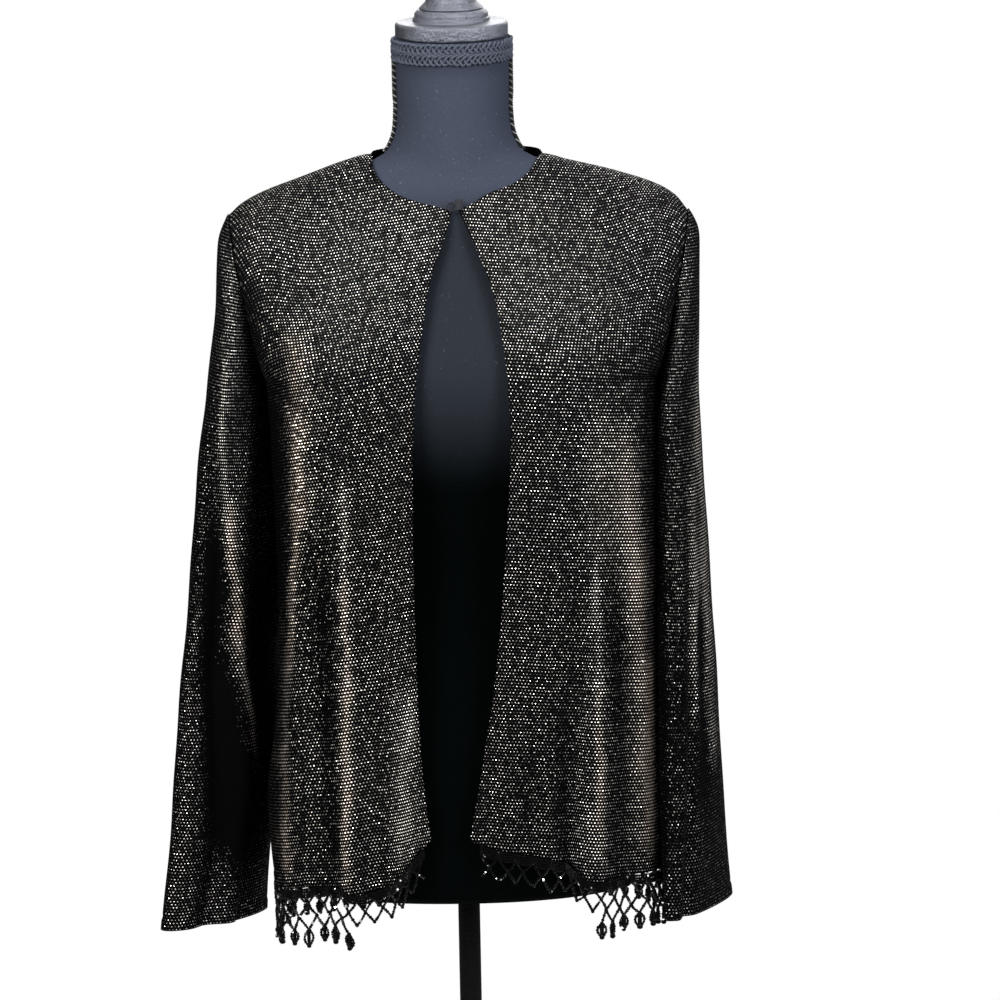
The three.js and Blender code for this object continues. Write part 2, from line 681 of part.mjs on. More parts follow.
// A beaded net hanging from a hem: a heading band, knots joined by bars, and a drop under each low knot.
function fringeNet(curve, columns, flip) {
  const { along, repeats, pitch } = hemPlaces(curve, columns);
  const points = [];
  const normals = [];
  const halves = [];
  const faces = [];
  // How far the straight edge between two corner points of the heading must drop to clear the hem.
  const sagAt = (length) => {
    const low = along(length - pitch).point;
    const high = along(length + pitch).point;
    const here = along(length).point;
    return Math.max(0, ...evenly(8, 0, 1).map((part) => {
      const before = along(length - pitch * part).point.z - mix(here.z, low.z, part);
      const after = along(length + pitch * part).point.z - mix(here.z, high.z, part);
      return Math.max(-before, -after);
    }));
  };
  const addPoint = (length, down, wall) => {
    const place = along(length);
    place.point.z -= hemGap + down + sagAt(length);
    points.push(place.point);
    normals.push(place.facing.multiplyScalar(flip));
    halves.push(wall / 2);
    return points.length - 1;
  };
  const addFace = (corners) => {
    faces.push(flip > 0 ? corners : corners.reverse());
  };
  const isPlain = (length) => Math.abs(along(length).point.x - plainCentre) < plainHalfWidth
    && along(length).point.y < 0;
  const knots = new Map();
  const knotAt = (half, level) => {
    const name = half + ',' + level;
    if (!knots.has(name)) {
      const length = half * pitch / 2;
      const down = netLevels[level];
      const knot = {
        west: addPoint(length - knotHalf, down, netWall),
        east: addPoint(length + knotHalf, down, netWall),
        south: addPoint(length, down + knotHalf * 1.3, netWall),
      };
      if (level > 0) {
        knot.north = addPoint(length, down - knotHalf * 1.3, netWall);
        addFace([knot.west, knot.south, knot.east, knot.north]);
      } else {
        addFace([knot.west, knot.south, knot.east]);
      }
      knots.set(name, knot);
    }
    return knots.get(name);
  };
  const addBars = (half, level) => {
    const upper = knotAt(half, level);
    for (const step of [-1, 1]) {
      const lower = knotAt(half + step, level + 1);
      if (step > 0) {
        addFace([upper.east, upper.south, lower.west, lower.north]);
      } else {
        addFace([upper.south, upper.west, lower.north, lower.east]);
      }
    }
  };
  const addHeading = () => {
    const lows = [];
    const highs = [];
    for (let repeat = 0; repeat < repeats; repeat += 1) {
      const knot = knotAt(repeat * 2 + 1, 0);
      const length = (repeat + 0.5) * pitch;
      highs.push(addPoint(length - knotHalf, 0, netWall), addPoint(length + knotHalf, 0, netWall));
      lows.push(knot.west, knot.east);
    }
    for (let index = 0; index < lows.length - 1; index += 1) {
      addFace([highs[index], lows[index], lows[index + 1], highs[index + 1]]);
    }
  };
  const addDrop = (half) => {
    const knot = knotAt(half, netLevels.length - 1);
    const length = half * pitch / 2;
    const down = netLevels[netLevels.length - 1];
    let left = knot.west;
    let right = knot.east;
    let tip = knot.south;
    for (const row of dropShape) {
      const nextLeft = addPoint(length - row.half, down + row.down, row.wall);
      const nextRight = addPoint(length + row.half, down + row.down, row.wall);
      if (tip === knot.south) {
        addFace([left, nextLeft, tip]);
        addFace([tip, nextLeft, nextRight]);
        addFace([tip, nextRight, right]);
        tip = null;
      } else {
        addFace([left, nextLeft, nextRight, right]);
      }
      left = nextLeft;
      right = nextRight;
    }
  };
  addHeading();
  for (let repeat = 0; repeat < repeats; repeat += 1) {
    const half = repeat * 2 + 1;
    const hasLeft = repeat > 0;
    const hasRight = repeat < repeats - 1;
    const upper = knotAt(half, 0);
    if (hasRight) {
      const lower = knotAt(half + 1, 1);
      addFace([upper.east, upper.south, lower.west, lower.north]);
    }
    if (hasLeft) {
      const lower = knotAt(half - 1, 1);
      addFace([upper.south, upper.west, lower.north, lower.east]);
    }
  }
  for (let repeat = 1; repeat < repeats; repeat += 1) {
    addBars(repeat * 2, 1);
  }
  for (let repeat = 1; repeat < repeats - 1; repeat += 1) {
    const half = repeat * 2 + 1;
    if (!isPlain(half * pitch / 2)) {
      for (const step of [-1, 1]) {
        const ahead = half + step;
        const upper = knotAt(half, 2);
        const lower = knotAt(ahead, 3);
        if (step > 0) {
          addFace([upper.east, upper.south, lower.west, lower.north]);
        } else {
          addFace([upper.south, upper.west, lower.north, lower.east]);
        }
      }
    }
  }
  for (const name of [...knots.keys()]) {
    const [half, level] = name.split(',').map(Number);
    if (level === 3) {
      addDrop(half);
    }
  }
  return thickSheet(points, normals, halves, faces);
}

function frontFringe(side) {
  const curve = (across) => bodyPoint(side, across, 0, -1);
  return fringeNet(curve, frontPlaces(), side.sign > 0 ? 1 : -1);
}

function backFringe() {
  const curve = (place) => bodyPoint(place < 0 ? sides.left : sides.right, Math.abs(place), 0, 1);
  return fringeNet(curve, backPlaces(), -1);
}

// Rounded rings joined into a closed solid, with a flat cap at each end.
function loft(rings) {
  const positions = [];
  const indices = [];
  const width = rings[0].length;
  rings.flat().forEach((point) => positions.push(point.x, point.y, point.z));
  for (let row = 0; row < rings.length - 1; row += 1) {
    for (let column = 0; column < width; column += 1) {
      const next = (column + 1) % width;
      const low = row * width;
      const high = low + width;
      indices.push(low + column, low + next, high + next, low + column, high + next, high + column);
    }
  }
  for (const row of [0, rings.length - 1]) {
    const centre = new THREE.Vector3();
    rings[row].forEach((point) => centre.add(point));
    centre.divideScalar(width);
    const middle = positions.length / 3;
    positions.push(centre.x, centre.y, centre.z);
    for (let column = 0; column < width; column += 1) {
      const here = row * width + column;
      const next = row * width + (column + 1) % width;
      if (row === 0) {
        indices.push(middle, next, here);
      } else {
        indices.push(middle, here, next);
      }
    }
  }
  const geometry = new THREE.BufferGeometry();
  geometry.setAttribute('position', new THREE.Float32BufferAttribute(positions, 3));
  geometry.setIndex(indices);
  geometry.computeVertexNormals();
  return geometry;
}

function formRing(section, count) {
  return evenly(count, 0, 2 * Math.PI).slice(0, -1).map((angle) => {
    const power = 2 / section.square;
    const across = Math.cos(angle);
    const along = Math.sin(angle);
    const depth = along < 0 ? section.front : section.back;
    return new THREE.Vector3(
      section.half * Math.sign(across) * Math.abs(across) ** power,
      depth * Math.sign(along) * Math.abs(along) ** power,
      section.height,
    );
  });
}

// Turns a point given above the neck's top plane into the leaning frame of that plane.
function onNeckTop(x, y, up) {
  return new THREE.Vector3(
    x,
    neckTopY + y * Math.cos(neckTilt) - up * Math.sin(neckTilt),
    neckTopHeight + y * Math.sin(neckTilt) + up * Math.cos(neckTilt),
  );
}

function neckRing(grow, up, count) {
  return evenly(count, 0, 2 * Math.PI).slice(0, -1).map((angle) => {
    const depth = Math.sin(angle) < 0 ? neckTop.front : neckTop.back;
    return onNeckTop((neckTop.half + grow) * Math.cos(angle), (depth + grow) * Math.sin(angle), up);
  });
}

function dressForm() {
  const heights = [];
  for (let row = 0; row < formSections.length - 1; row += 1) {
    const low = formSections[row].height;
    const high = formSections[row + 1].height;
    heights.push(low);
    if (high - low > 50) {
      heights.push((low + high) / 2);
    }
  }
  heights.push(formSections[formSections.length - 1].height);
  const rings = heights.map((height) => {
    const section = { height };
    for (const column of ['half', 'front', 'back', 'square']) {
      section[column] = read(formSections, 'height', height, column);
    }
    return formRing(section, formColumns);
  });
  rings.push(neckRing(0, -neckBandHeight - 8, formColumns));
  rings.push(neckRing(0, 0, formColumns));
  return loft(rings);
}

// The gimp braid: a band standing off the neck all round below its top.
function neckBand() {
  const edgeOut = seamGap + neckBandWall * 0.5;
  const middleOut = seamGap + neckBandWall;
  const outer = [edgeOut, middleOut, middleOut, edgeOut];
  const ups = [-neckBandHeight, -neckBandHeight + 2, -2.5, -0.8];
  const rings = ups.map((up, index) => neckRing(outer[index], up, formColumns));
  const inner = [...ups].reverse().map((up) => neckRing(seamGap, up, formColumns));
  return ringLoft(rings.concat(inner));
}

// Rings joined into a closed band, the last one back to the first.
function ringLoft(rings) {
  const positions = [];
  const indices = [];
  const width = rings[0].length;
  rings.flat().forEach((point) => positions.push(point.x, point.y, point.z));
  for (let row = 0; row < rings.length; row += 1) {
    for (let column = 0; column < width; column += 1) {
      const next = (column + 1) % width;
      const low = row * width;
      const high = (row + 1) % rings.length * width;
      indices.push(low + column, low + next, high + next, low + column, high + next, high + column);
    }
  }
  const geometry = new THREE.BufferGeometry();
  geometry.setAttribute('position', new THREE.Float32BufferAttribute(positions, 3));
  geometry.setIndex(indices);
  geometry.computeVertexNormals();
  return geometry;
}

// The cord down one side seam of the neck.
function neckCord(sign) {
  const path = [];
  for (const up of [-neckBandHeight - 1.5, -34, -50]) {
    path.push(onNeckTop(sign * (neckTop.half + cordRadius + 0.4), 0, up));
  }
  for (const height of [1472, 1458, 1446, 1440]) {
    const half = read(formSections, 'height', height, 'half');
    path.push(new THREE.Vector3(sign * (half + cordRadius + cordLift), -3, height));
  }
  const curve = new THREE.CatmullRomCurve3(path);
  const shape = new THREE.Shape();
  shape.absarc(0, 0, cordRadius, 0, 2 * Math.PI, false);
  const options = { steps: 12, extrudePath: curve, curveSegments: 3, bevelEnabled: false };
  return new THREE.ExtrudeGeometry(shape, options);
}

// A turned piece standing on the leaning neck top.
function turnedPiece(profile) {
  const outline = [new THREE.Vector2(0, profile[0].up)];
  profile.forEach((row) => outline.push(new THREE.Vector2(row.radius, row.up)));
  outline.push(new THREE.Vector2(0, profile[profile.length - 1].up));
  const geometry = new THREE.LatheGeometry(outline, turnedColumns);
  geometry.rotateX(Math.PI / 2);
  geometry.rotateX(neckTilt);
  geometry.translate(0, neckTopY, neckTopHeight);
  return geometry;
}

function roundPost(radius, low, high, segments) {
  const geometry = new THREE.CylinderGeometry(radius, radius, high - low, segments);
  geometry.rotateX(Math.PI / 2);
  geometry.translate(0, 0, (low + high) / 2);
  return geometry;
}

function standBase() {
  const outline = [
    new THREE.Vector2(0, 0),
    new THREE.Vector2(baseRadius - 2, 0),
    new THREE.Vector2(baseRadius, 2),
    new THREE.Vector2(baseRadius, baseHeight - 4),
    new THREE.Vector2(baseRadius - 4, baseHeight),
    new THREE.Vector2(0, baseHeight),
  ];
  const geometry = new THREE.LatheGeometry(outline, 32);
  geometry.rotateX(Math.PI / 2);
  return geometry;
}

function standCollar() {
  const low = baseHeight + 0.3;
  const outline = [
    new THREE.Vector2(0, low),
    new THREE.Vector2(collarRadius, low),
    new THREE.Vector2(collarRadius, low + collarHeight * 0.5),
    new THREE.Vector2(poleRadius + 5, low + collarHeight),
    new THREE.Vector2(0, low + collarHeight),
  ];
  const geometry = new THREE.LatheGeometry(outline, 20);
  geometry.rotateX(Math.PI / 2);
  return geometry;
}

// The hook's plate, bent round over the neckline's edge.
function neckHook() {
  const shape = new THREE.Shape();
  const half = hookWidth / 2;
  shape.moveTo(-half, -hookHeight / 2);
  shape.lineTo(half * 0.5, -hookHeight / 2);
  shape.lineTo(half, -hookHeight / 4);
  shape.lineTo(half, hookHeight / 4);
  shape.lineTo(half * 0.5, hookHeight / 2);
  shape.lineTo(-half, hookHeight / 2);
  shape.closePath();
  const geometry = new THREE.ExtrudeGeometry(shape, { depth: hookWall, bevelEnabled: false });
  geometry.rotateX(Math.PI / 2 - hookLean);
  geometry.translate(hookPlace.x, hookPlace.y, hookPlace.z);
  return geometry;
}

// The thread loop that the hook catches.
function neckLoop() {
  const geometry = new THREE.TorusGeometry(loopRadius, loopWire, 5, 14);
  geometry.rotateX(Math.PI / 2 - hookLean);
  geometry.translate(loopPlace.x, loopPlace.y, loopPlace.z);
  return geometry;
}

function material(colour, roughness, metalness) {
  return new THREE.MeshStandardMaterial({ color: colour, roughness, metalness });
}

const group = new THREE.Group();

function add(name, geometry, surface) {
  const mesh = new THREE.Mesh(geometry, surface);
  mesh.name = name;
  group.add(mesh);
}

const cloth = material(colours.cloth, 0.7, 0.1);
const net = material(colours.net, 0.4, 0);
add('front_left', frontPanel(sides.left), cloth);
add('front_right', frontPanel(sides.right), cloth);
add('back', backPanel(), cloth);
add('sleeve_left', sleeveTube(sides.left, sleeves.left), cloth);
add('sleeve_right', sleeveTube(sides.right, sleeves.right), cloth);
add('fringe_front_left', frontFringe(sides.left), net);
add('fringe_front_right', frontFringe(sides.right), net);
add('fringe_back', backFringe(), net);
add('neck_hook', neckHook(), material(colours.hook, 0.4, 0.6));
add('neck_loop', neckLoop(), material(colours.hook, 0.6, 0));
add('dress_form', dressForm(), material(colours.form, 0.9, 0));
add('neck_braid', neckBand(), material(colours.braid, 0.8, 0));
add('neck_cord_left', neckCord(-1), material(colours.braid, 0.8, 0));
add('neck_cord_right', neckCord(1), material(colours.braid, 0.8, 0));
add('neck_cap', turnedPiece(capProfile), material(colours.cap, 0.35, 0));
add('finial', turnedPiece(finialProfile), material(colours.cap, 0.35, 0));
const poleLow = baseHeight + collarHeight + 0.6;
add('pole', roundPost(poleRadius, poleLow, formBottomHeight - 0.3, 24), material(colours.stand, 0.3, 0.3));
add('stand_collar', standCollar(), material(colours.stand, 0.4, 0.2));
add('stand_base', standBase(), material(colours.stand, 0.4, 0.2));

export default group;
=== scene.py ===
import math
import bpy
import numpy as np
from mathutils import Matrix, Vector


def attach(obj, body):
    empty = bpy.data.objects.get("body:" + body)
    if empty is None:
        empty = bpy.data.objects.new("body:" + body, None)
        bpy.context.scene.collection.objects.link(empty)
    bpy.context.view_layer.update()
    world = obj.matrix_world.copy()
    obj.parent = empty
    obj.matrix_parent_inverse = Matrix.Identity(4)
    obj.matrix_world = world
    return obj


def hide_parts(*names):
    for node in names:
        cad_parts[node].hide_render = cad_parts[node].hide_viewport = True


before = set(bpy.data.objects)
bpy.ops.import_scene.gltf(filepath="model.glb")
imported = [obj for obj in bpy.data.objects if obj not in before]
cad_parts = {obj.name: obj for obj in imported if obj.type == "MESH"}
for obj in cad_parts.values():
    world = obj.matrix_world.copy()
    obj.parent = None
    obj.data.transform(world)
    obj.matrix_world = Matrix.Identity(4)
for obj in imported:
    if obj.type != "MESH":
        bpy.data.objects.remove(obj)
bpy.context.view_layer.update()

bpy.context.scene.view_settings.view_transform = "Standard"
millimetre = 0.001

# The camera stands at the photograph's place: 3.2 m in front, level with the neck, rolled a little.
cameraValues = {"place": (36.5, -3200, 1430), "pitch": 5.745, "roll": 1.086, "lens": 123.87}

# Cut and drape of the cloth in millimetres. "out" is the distance from the pole's axis to the side.
clothValues = {"wall": 1.1, "underarm": 1225, "frontSquare": 2.5, "backSquare": 2.3, "frontRoll": 1.6,
               "backRoll": 2.0, "neckAcross": 0.21, "frontCentreRise": 0.62, "backCentreRise": 0.78,
               "backNeckHeight": 1439, "backNeckDepth": 61, "armholeFront": 48, "armholeBack": 54,
               "armholeLean": 0.85, "pressGap": 1.3, "hemBand": 10, "cuffBand": 11, "hemLift": 0.7,
               "grooveDeep": 0.9, "grooveWide": 1.3, "frontReach": 140, "lowerLength": 463,
               "ovalHalf": 180, "ovalDepth": 120, "ovalShare": 0.6, "slowFold": 0.55, "flute": 1.2,
               "sleeveSlow": 0.7, "upperPack": 0.9}

bodyDepth = {
    "height": [750, 850, 950, 1040, 1150, 1225],
    "front": [117, 121, 120, 120, 124, 127],
    "back": [106, 112, 106, 101, 102, 108],
}

leftSide = {
    "sign": -1,
    "armhole": (178, 209),
    "edge": {
        "height": [800, 838, 889, 1032, 1158, 1225, 1289, 1320, 1353, 1380],
        "out": [30, 35, 39.4, 42.2, 40.9, 36.7, 27.8, 21.7, 9.9, 1.5],
    },
    "side": {
        "height": [750, 790, 835, 866, 899, 950, 1017, 1094, 1225],
        "out": [180, 185, 187, 184, 178, 172, 170, 172, 178],
    },
    "top": {
        "across": [0, 0.04, 0.08, 0.12, 0.16, 0.19, 0.21, 0.3, 0.5, 0.7, 0.85, 1],
        "out": [1.5, 15, 33, 50, 66, 75.6, 76.4, 98, 141, 177, 197, 209],
        "front": [77, 76, 71, 61, 46.5, 27, 0, 0, 0, 0, 0, 0],
        "height": [1379.5, 1383, 1388, 1394.5, 1407, 1423.5, 1432, 1428, 1413, 1400, 1389.5, 1379],
    },
    "hem": {
        "across": [0, 0.055, 0.125, 0.2, 0.286, 0.33, 0.45, 0.63, 1],
        "height": [811, 795, 771, 763, 760, 765.5, 765, 759, 756],
    },
    "folds": {
        "low": [700, 700, 700, 700, 700],
        "high": [1330, 1130, 1000, 1120, 960],
        "outLow": [163, 108, 50, 136, 80],
        "outHigh": [147, 112, 60, 132, 84],
        "lift": [6, 5, 4, -5, -3],
        "width": [15, 16, 11, 14, 14],
    },
}

rightSide = {
    "sign": 1,
    "armhole": (185, 215),
    "edge": {
        "height": [800, 831, 857, 898, 939, 1030, 1169, 1215, 1252, 1305, 1349, 1380],
        "out": [2, 7.1, 12.5, 19.5, 26.3, 37.1, 46.9, 46, 43, 34, 17.5, 3.6],
    },
    "side": {
        "height": [750, 782, 884, 1011, 1143, 1225],
        "out": [183, 184, 181.5, 182, 184.5, 185],
    },
    "top": {
        "across": [0, 0.04, 0.08, 0.12, 0.16, 0.19, 0.21, 0.3, 0.5, 0.7, 0.85, 1],
        "out": [3.6, 16, 32, 53, 67.5, 76, 81, 104, 148, 184, 203, 215],
        "front": [77, 76.5, 71.5, 60, 44, 20, 0, 0, 0, 0, 0, 0],
        "height": [1380, 1385.5, 1395, 1402.5, 1412.5, 1424.5, 1430, 1424.5, 1413.5, 1401.5, 1390.5, 1376],
    },
    "hem": {
        "across": [0, 0.043, 0.11, 0.211, 0.3, 0.34, 0.39, 0.54, 1],
        "height": [809.5, 803, 798, 791, 784, 771, 766, 767, 765],
    },
    "folds": {
        "low": [700, 700, 700, 700],
        "high": [1080, 1300, 1000, 1150],
        "outLow": [122, 171, 96, 149],
        "outHigh": [126, 160, 100, 145],
        "lift": [6, 5, -5, -4],
        "width": [15, 13, 11, 13],
    },
}

backFolds = {
    "low": [700] * 5,
    "high": [1180, 1120, 1160, 1200, 1100],
    "at": [-0.62, -0.2, 0.28, 0.68, 0.04],
    "lift": [6, 5, 6, 5, -4],
    "width": [0.12, 0.14, 0.13, 0.11, 0.12],
}

leftSleeve = {
    "cuff": 716,
    "rings": {
        "height": [716, 830, 925, 960, 1010, 1095, 1164, 1221, 1300, 1345, 1380],
        "out": [240.5, 229, 220.2, 218.5, 214.2, 207.9, 206.1, 204, 200, 200, 198],
        "back": [0, 0, 2, 2, 3, 3, 2, 0, 0, 0, 0],
        "long": [66, 62, 65, 64.5, 64, 64, 65, 65, 58, 50, 40],
        "thin": [21.5, 29, 26.5, 24.7, 28.2, 31.7, 30.6, 27.7, 22.5, 20, 17],
        "turn": [40, 37, 36, 34, 31, 24, 14, 4, 0, 0, 0],
    },
    "folds": {
        "low": [840, 760, 700],
        "high": [1320, 1250, 1150],
        "atLow": [6, 28, 200],
        "atHigh": [60, 82, 205],
        "lift": [5, -8, -5],
        "width": [9, 13, 14],
    },
}

rightSleeve = {
    "cuff": 721,
    "rings": {
        "height": [721, 820, 915, 1010, 1104, 1198, 1255, 1300, 1345, 1380],
        "out": [216.8, 212.1, 209.1, 207, 205.8, 203.8, 204.3, 204.5, 205.5, 205],
        "back": [-9, -8, -6, -4, -2, 0, 0, 0, 0, 0],
        "long": [70, 71, 71, 71, 71, 69, 63, 57, 50, 40],
        "thin": [13.2, 21.5, 24, 23, 20.7, 18, 19.3, 19.5, 19.5, 18],
        "turn": [-27, -20, -15, -12, -10, -9, -4, 0, 0, 0],
    },
    "folds": {
        "low": [690, 690, 700],
        "high": [1150, 1130, 1100],
        "atLow": [118, 132, 320],
        "atHigh": [112, 126, 315],
        "lift": [4, -8, -4],
        "width": [8, 10, 14],
    },
}

formSections = {
    "height": [745, 752, 800, 870, 950, 1040, 1120, 1200, 1240, 1300, 1345, 1375, 1397, 1409, 1418.5,
               1425.5, 1433, 1445, 1457, 1477],
    "half": [150, 158, 163, 163, 148, 124, 133, 147, 152, 162, 175, 180, 168, 146, 114, 79.3, 64, 56,
             52.8, 51.6],
    "front": [92, 100, 106, 105, 96, 84, 94, 113, 117, 100, 84, 75, 66, 61.5, 60, 58.5, 57.5, 56.6, 56.2, 56],
    "back": [92, 99, 104, 105, 95, 78, 82, 89, 93, 95, 88, 80, 69, 61, 54, 50, 48, 48, 47, 45],
    "square": [2.1, 2.1, 2.1, 2.1, 2.1, 2.1, 2.1, 2.1, 2.1, 2.1, 1.9, 1.65, 1.4, 1.25, 1.25, 1.5, 1.75,
               1.95, 2, 2],
}

capProfile = {
    "up": [0.4, 2, 12.5, 14.5, 15, 18, 19, 22, 26],
    "radius": [50.5, 52, 52, 50, 35.5, 35.5, 33.8, 34, 30.5],
}

finialProfile = {
    "up": [26.4, 30, 33, 37, 44, 49, 54, 60, 70, 80, 91, 98, 101],
    "radius": [30, 26.5, 23.4, 22.4, 22.8, 17, 12, 16, 24, 24, 18, 9, 4],
}

# Creases that are too fine for the solids: from one end (out, height) to the other, lift and width.
leftCreases = {
    "fromOut": [176, 182, 170, 66, 152, 120, 40, 166, 100],
    "fromHeight": [1262, 1300, 1236, 1010, 990, 870, 930, 1130, 1010],
    "toOut": [120, 150, 140, 74, 150, 122, 38, 160, 96],
    "toHeight": [1180, 1215, 1120, 770, 770, 762, 790, 990, 800],
    "lift": [1.6, -1.5, 1.4, 1.4, 2.0, -1.8, -1.6, 1.6, -1.6],
    "width": [9, 8, 9, 8, 7, 7, 6, 8, 9],
}

rightCreases = {
    "fromOut": [178, 186, 172, 40, 140, 60, 80, 165, 30],
    "fromHeight": [1262, 1300, 1240, 1000, 1000, 900, 1130, 1010, 900],
    "toOut": [128, 152, 146, 34, 138, 62, 78, 163, 22],
    "toHeight": [1170, 1210, 1110, 800, 775, 780, 930, 775, 800],
    "lift": [1.6, -1.5, 1.3, 1.2, 1.7, -1.2, 1.0, 1.5, -1.0],
    "width": [9, 8, 9, 9, 7, 10, 12, 7, 7],
}

backCreases = {
    "fromOut": [-0.9, 0.9, -0.4, 0.45, -0.8, 0.82, 0.15],
    "fromHeight": [1260, 1265, 1120, 1140, 1010, 1000, 1000],
    "toOut": [-0.6, 0.62, -0.42, 0.48, -0.78, 0.8, 0.16],
    "toHeight": [1180, 1175, 800, 790, 770, 775, 780],
    "lift": [1.6, 1.6, 1.5, -1.6, 1.8, 1.8, -1.4],
    "width": [0.06, 0.06, 0.07, 0.07, 0.05, 0.05, 0.06],
}

# Down each sleeve: place round it in degrees at both ends.
leftSleeveCreases = {
    "fromOut": [116, 64, 27, 120, 250, 300, 109, 79, 40],
    "fromHeight": [1300, 1130, 1000, 1000, 1200, 1100, 1210, 1095, 960],
    "toOut": [55, 18, -8, 104, 230, 310, 72, 33, 10],
    "toHeight": [1080, 960, 850, 800, 900, 850, 1050, 910, 740],
    "lift": [2, 3, 3, 1.2, 1.6, -1.6, -3, -6, -6],
    "width": [11, 8, 9, 12, 12, 12, 12, 14, 15],
}

rightSleeveCreases = {
    "fromOut": [150, 95, 80, 138, 250, 300, 75, 152],
    "fromHeight": [1320, 1220, 1120, 1150, 1200, 1100, 980, 1040],
    "toOut": [110, 75, 92, 137, 230, 310, 88, 160],
    "toHeight": [1180, 1060, 930, 860, 900, 850, 760, 780],
    "lift": [1.6, 1.5, -1.4, 2.4, 1.6, -1.6, 1.4, -3.5],
    "width": [8, 8, 8, 7, 12, 12, 7, 10],
}

# Painted highlights where the stitches catch more light, or painted shade below 0, along soft lines; warm
# lines have a copper tint in their painted highlight.
leftShine = {
    "fromOut": [146.1, 144, 148, 159.6, 166.4, 104.6, 105.8, 105.4, 49, 55.9, 170, 125.3, 118.9, 149.9],
    "fromHeight": [1271, 1190, 1112, 981, 888, 1141, 1045, 949, 949, 831, 1219, 1085, 921, 936],
    "toOut": [144.2, 148.3, 160, 166.5, 166.6, 106.2, 105.5, 110.6, 56, 62.6, 170.6, 131.8, 125.7, 149.8],
    "toHeight": [1176, 1098, 967, 875, 767, 1031, 936, 767, 817, 791, 1022, 915, 771, 788],
    "lift": [1.2, 2.4, 1.9, 1.3, 1.3, 0.9, 1.7, 1.5, 0.9, 0.6, -0.6, -0.3, -0.25, -0.2],
    "width": [8, 4.6, 2.8, 3.0, 3.6, 3.2, 3.0, 3.4, 5.1, 7.2, 8, 16, 10, 7.2],
    "warm": [1, 1, 1, 0, 1, 0, 1, 1, 0, 0, 0, 0, 0, 0],
}

rightShine = {
    "fromOut": [128.2, 147.9, 157.7, 167.6, 122.2, 122.9, 111.4, 139.9, 83.9, 59.9, 103],
    "fromHeight": [1208, 1180, 1069, 956, 1062, 944, 842, 1061, 946, 901, 1063],
    "toOut": [126.2, 157.6, 167.3, 170.8, 122.9, 123.2, 114.1, 142.2, 94.3, 48.9, 104.1],
    "toHeight": [1062, 1059, 938, 781, 935, 779, 780, 914, 786, 800, 935],
    "lift": [0.35, 0.9, 1.2, 1.6, 0.9, 1.0, 0.35, -0.25, -0.2, -0.2, -0.15],
    "width": [10.9, 9.5, 8.5, 7.1, 3.1, 3.4, 6.5, 8.6, 13.1, 10.8, 8.2],
    "warm": [1, 1, 1, 1, 0, 1, 0, 0, 0, 0, 0],
}

backShine = {
    "fromOut": [-0.62, -0.2, 0.28, 0.68, 0.04, -0.4, 0.5],
    "fromHeight": [1150, 1100, 1130, 1160, 1080, 1000, 980],
    "toOut": [-0.62, -0.2, 0.28, 0.68, 0.04, -0.42, 0.48],
    "toHeight": [770, 770, 770, 770, 770, 775, 775],
    "lift": [1.2, 0.9, 1.2, 1.0, -0.4, -0.4, -0.4],
    "width": [0.03, 0.04, 0.03, 0.04, 0.07, 0.08, 0.08],
    "warm": [1, 0, 1, 0, 0, 0, 0],
}

leftSleeveShine = {
    "fromOut": [116.5, 58.5, 24, 109, 76, 37, 22, 7, 48.5, 122.5, 250],
    "fromHeight": [1265, 1113, 985, 1192, 1077, 940, 873, 1058, 1191, 1061, 1100],
    "toOut": [57.5, 23.5, -5, 74.5, 36.5, 13, -5, -26.5, 18.5, 113, 240],
    "toHeight": [1099, 976, 864, 1063, 930, 786, 744, 884, 1059, 875, 760],
    "lift": [0.9, 1.7, 1.6, -0.4, -1.05, -1.15, -0.6, -0.5, 0.0, 0.15, 0.5],
    "width": [4, 3.6, 3.6, 12, 16, 16, 11, 14, 16.5, 7, 10],
    "warm": [0, 1, 0, 0, 0, 0, 0, 0, 0, 0, 0],
}

rightSleeveShine = {
    "fromOut": [170, 170, 138, 137.5, 67.5, 151.5, 107, 81.5, 250],
    "fromHeight": [1264, 1020, 1137, 1017, 1057, 1016, 1002, 1240, 1100],
    "toOut": [168, 172, 139, 137.5, 85.5, 156, 112, 94, 240],
    "toHeight": [1011, 860, 999, 905, 760, 828, 863, 1076, 760],
    "lift": [1.3, 0.9, 0.9, 0.9, -0.35, -1.1, -0.2, -0.1, 0.5],
    "width": [12, 12, 6, 3.5, 18, 6, 13.5, 15.5, 10],
    "warm": [0, 0, 0, 0, 0, 0, 0, 0, 0],
}


def mix(start, end, part):
    return start + (end - start) * part


def ease(start, end, value):
    # Rises smoothly from 0 at start to 1 at end.
    part = np.clip((value - start) / (end - start), 0, 1)
    return part * part * (3 - 2 * part)


def turns(count):
    # Even angles round a circle, in radians.
    return np.arange(count) / count * 2 * math.pi


def readTable(table, key, at, column):
    # Smooth reading of a column, with no overshoot beside a level stretch.
    keys = np.array(table[key], float)
    values = np.array(table[column], float)
    last = len(keys) - 1
    at = np.clip(np.asarray(at, float), keys[0], keys[-1])
    index = np.arange(last + 1)
    low, high = np.maximum(index - 1, 0), np.minimum(index + 1, last)
    slopes = (values[high] - values[low]) / (keys[high] - keys[low])
    level = ((values[high] - values) * (values - values[low]) == 0) & (index > 0) & (index < last)
    slopes = np.where(level, 0, slopes)
    row = np.clip(np.searchsorted(keys, at, side="right") - 1, 0, last - 1)
    span = keys[row + 1] - keys[row]
    part = (at - keys[row]) / span
    square, cube = part ** 2, part ** 3
    return (values[row] * (2 * cube - 3 * square + 1) + slopes[row] * span * (cube - 2 * square + part)
            + values[row + 1] * (3 * square - 2 * cube) + slopes[row + 1] * span * (cube - square))


